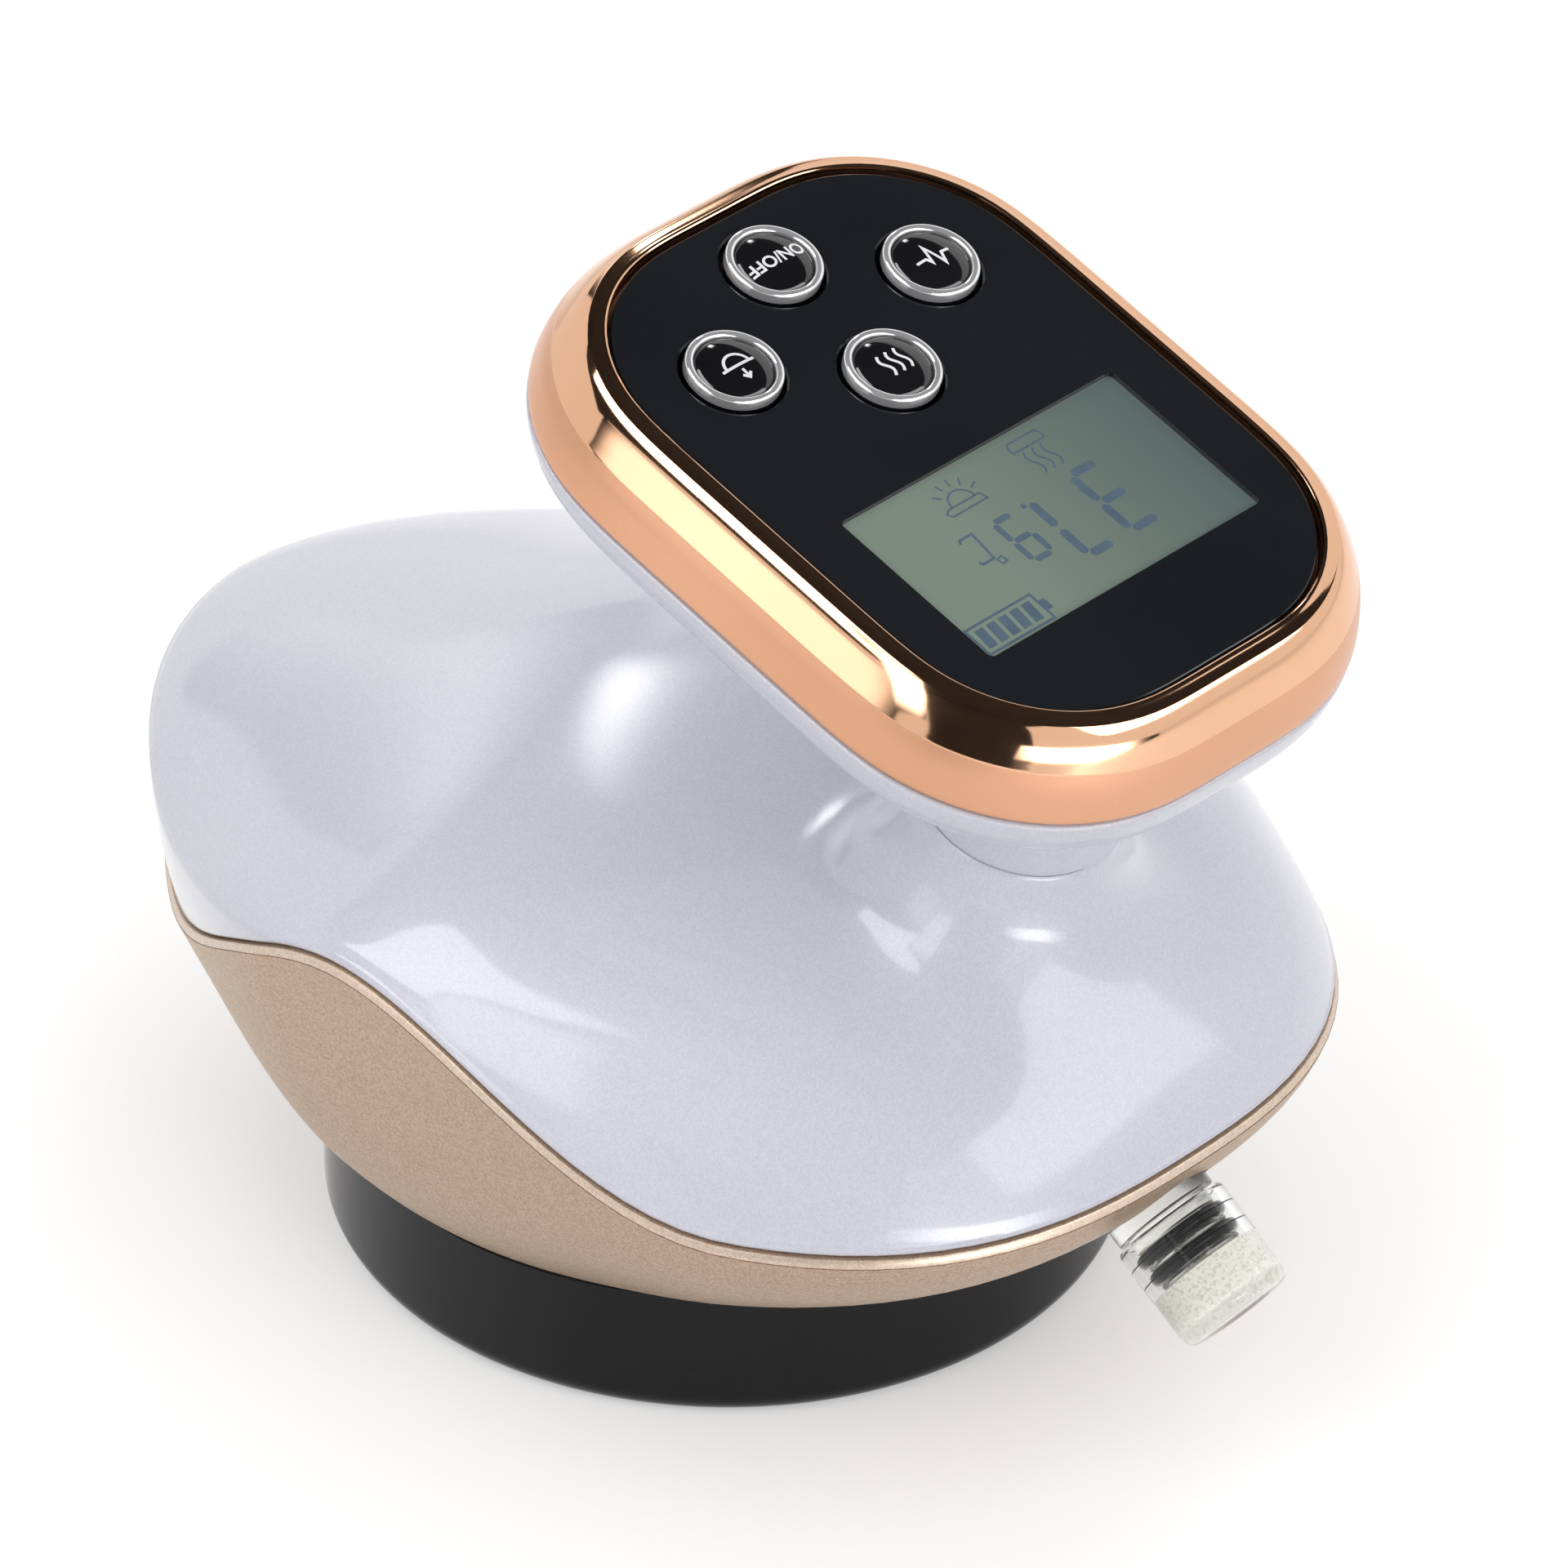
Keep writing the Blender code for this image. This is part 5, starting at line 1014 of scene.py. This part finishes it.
def build_collecting_cup():
    """Clear cup with a rounded end. Its bore is blasted where the port doesn't reach."""
    radius, bore, start = COLLECTOR_RADIUS, COLLECTOR_BORE, COLLECTOR_START
    end = start + COLLECTOR_LENGTH
    floor = end - COLLECTOR_FLOOR
    edge = COLLECTOR_WALL / 4
    corner = edge * 3
    profile = [(radius * out, end - edge * down) for out, down in COLLECTOR_DIMPLE]
    middle = (radius - COLLECTOR_ROUND, end - COLLECTOR_ROUND)
    profile += arc(middle, COLLECTOR_ROUND, 90.0, 0.0, COLLECTOR_ROUND_STEPS)
    profile += [(radius, start + edge), (radius - edge, start)]
    profile += [(bore + edge, start), (bore, start + edge), (bore, FROST_START)]
    clear = len(profile)
    reach = floor - corner - FROST_START
    profile += [(bore, FROST_START + reach * step / FROST_STEPS) for step in range(1, FROST_STEPS + 1)]
    profile += [(bore - edge, floor - edge), (bore - corner, floor), (bore / 2, floor), (0.0, floor)]
    body = "collecting_cup"
    cup = add_piece("clear_cup", turned(profile), "clear_plastic", [body], COLLECTOR_FRAME, body=body)
    add_look(cup, "clear_blasted", 1 + (clear - 2) * ROUND_FACETS, len(cup.data.vertices))


def build_port():
    """Clear port with two grooves, and the O-rings in them."""
    ring_radius = O_RING_THICKNESS / 2
    ring_middle = COLLECTOR_BORE + SKIN / 2 - ring_radius
    groove = ring_middle - ring_radius - O_RING_CLEARANCE
    land = COLLECTOR_BORE - GAP * 2
    end = O_RING_PLACES[-1] + O_RING_THICKNESS
    edge = GAP / 2
    half = ring_radius + O_RING_CLEARANCE
    shaft, flange, front = PORT_SHAFT_RADIUS, PORT_FLANGE_RADIUS, PORT_FLANGE_LENGTH
    profile = [(0.0, -PORT_TAIL), (shaft, -PORT_TAIL), (shaft, -PORT_SINK), (flange, -PORT_SINK)]
    profile += [(flange, front - edge), (flange - edge, front), (land, front)]
    for place in O_RING_PLACES:
        low, high = place - half, place + half
        profile += [(land, low - edge), (land - edge, low), (groove, low)]
        profile += [(groove, high), (land - edge, high), (land, high + edge)]
    profile += [(land, end - edge), (land - edge, end)]
    profile += [(PORT_BORE, end), (PORT_BORE, end / 2), (0.0, end / 2)]
    port = turned(profile)
    add_piece("clear_port", port, "clear_plastic", ["collector_port"], COLLECTOR_FRAME, "clear_moulded")
    last_turn = 360.0 - 360.0 / O_RING_FACETS
    for number, height in enumerate(O_RING_PLACES, 1):
        section = arc((ring_middle, height), ring_radius, 0.0, last_turn, O_RING_FACETS - 1)
        ring = turned(section, closed=True)
        add_piece(f"sealing_ring_{number}", ring, "black_rubber", [f"o_ring_{number}"], COLLECTOR_FRAME)


def feed(node, inputs):
    """Sets a node's inputs, or links them where the value is another node's output."""
    for key, value in inputs.items():
        if isinstance(value, bpy.types.NodeSocket):
            node.id_data.links.new(value, node.inputs[key])
        else:
            node.inputs[key].default_value = value


def add_node(owner, kind, inputs, output=0, **settings):
    """Adds a node to a material or world, feeds it and returns one of its outputs."""
    node = owner.node_tree.nodes.new("ShaderNode" + kind)
    for key, value in settings.items():
        setattr(node, key, value)
    feed(node, inputs)
    return node.outputs[output]


def shader_of(material):
    return material.node_tree.nodes["Principled BSDF"]


def new_material(name, colour, roughness, **values):
    """Adds a Principled look, with more values set on the sockets of these names."""
    material = LOOKS[name] = bpy.data.materials.new(name + "_finish")
    material.use_nodes = True
    material.diffuse_color = (*colour, 1.0)
    shader = shader_of(material)
    feed(shader, {"Base Color": (*colour, 1.0), "Roughness": roughness, "Coat Roughness": COAT_ROUGHNESS})
    sockets = {socket.name.lower().replace(" ", "_"): socket.name for socket in shader.inputs}
    feed(shader, {sockets[key]: value for key, value in values.items()})
    return material


def noise(material, scale, detail=2.0):
    """Noise over the object's own coordinates, with this many cells to the metre."""
    place = add_node(material, "TexCoord", {}, "Object")
    return add_node(material, "TexNoise", {"Vector": place, "Scale": scale, "Detail": detail}, "Fac")


def flakes(material, scale):
    """Random shade for each tiny flake of a pearl or metal paint."""
    place = add_node(material, "TexCoord", {}, "Object")
    cells = add_node(material, "TexVoronoi", {"Vector": place, "Scale": scale}, "Color")
    return add_node(material, "SeparateColor", {"Color": cells}, "Red")


def vary_colour(material, source, dark, light, ramp=TONE_RAMP):
    colour = add_node(material, "ValToRGB", {"Fac": source})
    for stop, place, shade in zip(colour.node.color_ramp.elements, ramp, (dark, light)):
        stop.position = place
        stop.color = (*shade, 1.0)
    feed(shader_of(material), {"Base Color": colour})
    return colour


def vary_roughness(material, source, low, high):
    start, end = GLOSS_RAMP
    spans = {"Value": source, "From Min": start, "From Max": end, "To Min": low, "To Max": high}
    feed(shader_of(material), {"Roughness": add_node(material, "MapRange", spans)})


def add_bump(material, source, strength, height):
    bump = add_node(material, "Bump", {"Height": source, "Strength": strength, "Distance": height})
    feed(shader_of(material), {"Normal": bump})


def finish(
    name, dark, light, roughness, tone=60.0, grain=900.0, strength=0.15, height=0.00002,
    detail=3.0, flake=None, ramp=TONE_RAMP, gloss=None, **values
):
    """A finish with tone variation, uneven gloss and a fine bump. Scales are in cells to the metre."""
    material = new_material(name, light, sum(roughness) / 2, **values)
    source = flakes(material, flake) if flake else noise(material, tone, detail)
    vary_colour(material, source, dark, light, ramp)
    vary_roughness(material, noise(material, gloss or tone * 3), *roughness)
    add_bump(material, noise(material, grain), strength, height)
    return material


def pearl_paint():
    """Pearl white under a soft clear coat."""
    finish(
        "pearl_white_plastic", (0.575, 0.575, 0.65), (0.635, 0.64, 0.71), (0.28, 0.36),
        flake=6500.0, ramp=(0.1, 0.9), gloss=900.0, grain=2400.0, strength=0.04, height=0.00001,
        coat_weight=1.0, coat_roughness=0.09, coat_ior=1.36, specular_ior_level=0.15,
    )


def gold_paint(name, dark, light, roughness, strength, metallic):
    """Metal paint with fine flakes."""
    finish(
        name, dark, light, roughness, flake=5500.0, ramp=(0.05, 0.95), gloss=1300.0, grain=4500.0,
        strength=strength, metallic=metallic,
    )


def metal(name, dark, light, roughness, tone, grain, strength, metallic=1.0):
    """Bare or plated metal."""
    finish(name, dark, light, roughness, tone, grain, strength, metallic=metallic)


def black(name, dark, light, specular):
    """Smooth black, with more or less shine."""
    finish(name, dark, light, (0.05, 0.09), 40.0, 1200.0, 0.02, specular_ior_level=specular)


def clear(name, colour, roughness, speckle):
    """Clear plastic with small bubbles and flow marks."""
    dark = tuple(part * CLEAR_SHADE for part in colour)
    finish(
        name, dark, colour, roughness, 300.0, speckle, 0.25, 0.00004,
        detail=2.0, gloss=500.0, transmission_weight=1.0, ior=1.3,
    )


def blasted_plastic():
    """Blasted clear plastic, cream and speckled."""
    finish(
        "clear_blasted", (0.68, 0.66, 0.56), (0.96, 0.95, 0.89), (0.4, 0.6), 2600.0, 3000.0, 0.4, 0.00005,
        ramp=(0.34, 0.52), gloss=900.0, transmission_weight=0.3,
    )


def display_glass():
    """Grey green display face, bluer and darker towards -X as painted shade, with a faint glow of its own
    colours as painted light.
    """
    dark, light = (0.088, 0.122, 0.118), (0.172, 0.218, 0.18)
    # The faint glow of the face's colours is painted light that keeps the face bright.
    material = new_material("lcd_glass", light, 0.12, coat_weight=0.6, emission_strength=0.12)
    place = add_node(material, "TexCoord", {}, "Object")
    across = add_node(material, "SeparateXYZ", {"Vector": place}, "X")
    # Painted shade: the face's colour and glow darken and turn bluer towards -X.
    start, end = LCD_PAINTED_SHADE_SPAN
    share = add_node(material, "MapRange", {"Value": across, "From Min": start, "From Max": end})
    colour = vary_colour(material, share, dark, light, (0.0, 1.0))
    feed(shader_of(material), {"Emission Color": colour})
    vary_roughness(material, noise(material, 60.0), 0.1, 0.14)
    add_bump(material, noise(material, 90.0), 0.02, 0.00001)


def display_ink():
    """Blue of the display's signs."""
    finish(
        "display_signs", (0.075, 0.115, 0.16), (0.09, 0.135, 0.185), (0.2, 0.3),
        400.0, 2500.0, 0.008, coat_weight=0.5,
    )


def make_looks():
    """Every look, named after the CAD's material slot or by a name of its own."""
    pearl_paint()
    gold_paint("champagne_paint", (0.41, 0.29, 0.2), (0.56, 0.415, 0.305), (0.36, 0.48), 0.15, 0.55)
    # Lighter copy of the gold paint: a painted highlight for the strip under the seam.
    gold_paint("bright_strip", (0.56, 0.44, 0.34), (0.7, 0.56, 0.45), (0.28, 0.4), 0.1, 0.4)
    metal("rose_gold_chrome", (0.65, 0.34, 0.2), (0.71, 0.38, 0.235), (0.26, 0.34), 30.0, 2200.0, 0.05)
    metal("rose_mirror", (0.77, 0.44, 0.27), (0.81, 0.48, 0.3), (0.06, 0.085), 30.0, 600.0, 0.012)
    metal("silver_chrome", (0.82, 0.82, 0.84), (0.9, 0.9, 0.92), (0.09, 0.14), 80.0, 1500.0, 0.03, 0.72)
    metal("steel", (0.5, 0.5, 0.51), (0.62, 0.62, 0.63), (0.22, 0.38), 60.0, 900.0, 0.15)
    metal("battery_wrap", (0.38, 0.4, 0.42), (0.55, 0.57, 0.6), (0.3, 0.5), 90.0, 900.0, 0.15, 0.6)
    black("black_gloss", (0.004, 0.004, 0.005), (0.008, 0.0075, 0.009), 0.22)
    black("black_acrylic", (0.01, 0.0115, 0.0135), (0.0125, 0.014, 0.0165), 0.4)
    black("black_rubber", (0.003, 0.003, 0.0035), (0.007, 0.007, 0.008), 0.15)
    black("domed_black", (0.005, 0.005, 0.006), (0.009, 0.009, 0.011), 0.8)
    clear("clear_plastic", (0.97, 0.98, 0.97), (0.02, 0.08), 700.0)
    clear("clear_moulded", (0.93, 0.93, 0.9), (0.12, 0.3), 1600.0)
    clear("red_clear_plastic", (0.8, 0.05, 0.04), (0.05, 0.15), 900.0)
    blasted_plastic()
    display_glass()
    display_ink()
    finish("printed_white", (0.72, 0.72, 0.74), (0.8, 0.8, 0.82), (0.4, 0.5))
    finish("dark_plastic", (0.03, 0.03, 0.033), (0.045, 0.045, 0.05), (0.4, 0.6), strength=0.3)
    finish("white_plastic", (0.68, 0.68, 0.66), (0.76, 0.76, 0.74), (0.35, 0.5))
    finish("circuit_board", (0.012, 0.11, 0.05), (0.03, 0.2, 0.09), (0.25, 0.45), 500.0)
    finish("silicone_hose", (0.62, 0.62, 0.58), (0.74, 0.74, 0.7), (0.3, 0.45))


def dress_nodes():
    """Gives each CAD node the finish of its slot."""
    for part in frame["record"]["subparts"]:
        node = frame["nodes"][part["node"]]
        if not node.material_slots:
            node.data.materials.append(None)
        for slot in node.material_slots:
            slot.material = LOOKS[part["material_slot"]]


def light_path_level(owner, low):
    """1 for camera, mirror and glass rays, and the given level for the light itself."""
    rays = add_node(owner, "LightPath", {}).node.outputs
    seen = rays["Is Camera Ray"]
    for kind in ("Is Glossy Ray", "Is Transmission Ray"):
        seen = add_node(owner, "Math", {0: seen, 1: rays[kind]}, operation="MAXIMUM")
    return add_node(owner, "MapRange", {"Value": seen, "To Min": low, "To Max": 1.0})


def build_world():
    world = bpy.data.worlds.new("studio")
    bpy.context.scene.world = world
    world.use_nodes = True
    level = light_path_level(world, WORLD_LEVEL)
    feed(world.node_tree.nodes["Background"], {"Color": (1.0, 1.0, 1.0, 1.0), "Strength": level})


def add_sheet(name, material, centre, toward, width, length, roll=0.0):
    """A flat four-cornered sheet that faces a point, rolled about its own normal."""
    centre = Vector(centre)
    way = (Vector(toward) - centre).normalized()
    place = Matrix.Translation(centre) @ way.to_track_quat("Z", "Y").to_matrix().to_4x4()
    place = place @ Matrix.Rotation(roll, 4, "Z")
    shape = bmesh.new()
    corners = [(-1, -1), (1, -1), (1, 1), (-1, 1)]
    shape.faces.new([shape.verts.new((x * width / 2, y * length / 2, 0.0)) for x, y in corners])
    sheet = linked(name, mesh_of(name, shape, place))
    sheet.data.materials.append(material)
    return sheet


def build_floor():
    """Pale floor that keeps the shadow and shows white to the camera."""
    material = new_material("floor_white", (0.7, 0.7, 0.7), 0.9, emission_color=(1.0, 1.0, 1.0, 1.0))
    vary_colour(material, noise(material, 3.0), (0.69, 0.69, 0.69), (0.71, 0.71, 0.71))
    level = light_path_level(material, 0.0)
    glow = add_node(material, "Math", {0: level, 1: FLOOR_GLOW}, operation="MULTIPLY")
    feed(shader_of(material), {"Emission Strength": glow})
    add_sheet("studio_floor", material, (0.0, 0.0, -FLOOR_DROP), (0.0, 0.0, 1.0), FLOOR_SIZE, FLOOR_SIZE)


def add_card(*sheet):
    """A sheet, given as add_sheet takes it, that only gloss and metal see."""
    card = add_sheet(*sheet)
    card.visible_camera = False
    card.visible_diffuse = False
    card.visible_shadow = False
    card.visible_transmission = False


def build_dark_cards():
    """Dark cards, as a studio sets them round a shiny product."""
    material = finish("card_black", (0.008, 0.007, 0.007), (0.014, 0.012, 0.011), (0.8, 0.9), 4.0, 40.0)
    for name, centre, side in DARK_CARDS:
        add_card("card_" + name, material, centre, CARD_TARGET, side, side)


def softbox_material(name, strength, softness):
    """Light that falls off softly towards the edges of its sheet."""
    material = bpy.data.materials.new(name)
    material.use_nodes = True
    nodes = material.node_tree.nodes
    nodes.remove(shader_of(material))
    place = add_node(material, "TexCoord", {}, "Generated")
    parts = add_node(material, "SeparateXYZ", {"Vector": place}).node.outputs
    level = strength
    for axis in ("X", "Y"):
        inward = add_node(material, "Math", {0: parts[axis], 1: 0.5}, operation="PINGPONG")
        spans = {"Value": inward, "From Max": softness}
        share = add_node(material, "MapRange", spans, interpolation_type="SMOOTHSTEP")
        level = add_node(material, "Math", {0: share, 1: level}, operation="MULTIPLY")
    feed(nodes["Material Output"], {"Surface": add_node(material, "Emission", {"Strength": level})})
    return material


def build_softboxes():
    """Soft windows of light that show in gloss and metal."""
    for name, centre, width, length, strength, softness, roll in SOFTBOXES:
        name = "softbox_" + name
        material = softbox_material(name + "_light", strength, softness)
        add_card(name, material, centre, SOFTBOX_TARGET, width, length, roll)


def build_lamps():
    """Soft rectangular lamps that face the object and don't show in gloss."""
    for name, centre, width, length, power in LAMPS:
        data = bpy.data.lights.new("lamp_" + name, "AREA")
        data.shape = "RECTANGLE"
        data.size, data.size_y = width, length
        data.energy = power
        lamp = linked("lamp_" + name, data)
        way = Vector(LAMP_TARGET) - Vector(centre)
        lamp.matrix_world = Matrix.Translation(centre) @ way.to_track_quat("-Z", "Y").to_matrix().to_4x4()
        lamp.visible_glossy = False


def build_camera():
    data = bpy.data.cameras.new("photo_camera")
    data.lens = CAMERA_LENS
    data.clip_start, data.clip_end = CAMERA_CLIP
    camera = linked("photo_camera", data)
    across, up = CAMERA_OFFSET
    place = CAMERA_TARGET - CAMERA_FORWARD * CAMERA_DISTANCE - CAMERA_RIGHT * across - CAMERA_UP * up
    turn = Matrix((CAMERA_RIGHT, CAMERA_UP, -CAMERA_FORWARD)).transposed().to_4x4()
    camera.matrix_world = Matrix.Translation(place) @ turn
    bpy.context.scene.camera = camera


def build():
    make_looks()
    dress_nodes()
    build_upper_shell()
    build_lower_shell()
    build_suction_cup()
    build_electrode()
    build_under_shell()
    build_bezel()
    build_panel()
    build_display()
    for name, place in BUTTON_PLACES.items():
        build_button(name, place)
    build_collecting_cup()
    build_port()
    build_world()
    build_floor()
    build_dark_cards()
    build_softboxes()
    build_lamps()
    build_camera()


build()
bpy.context.scene.view_settings.view_transform = "Standard"
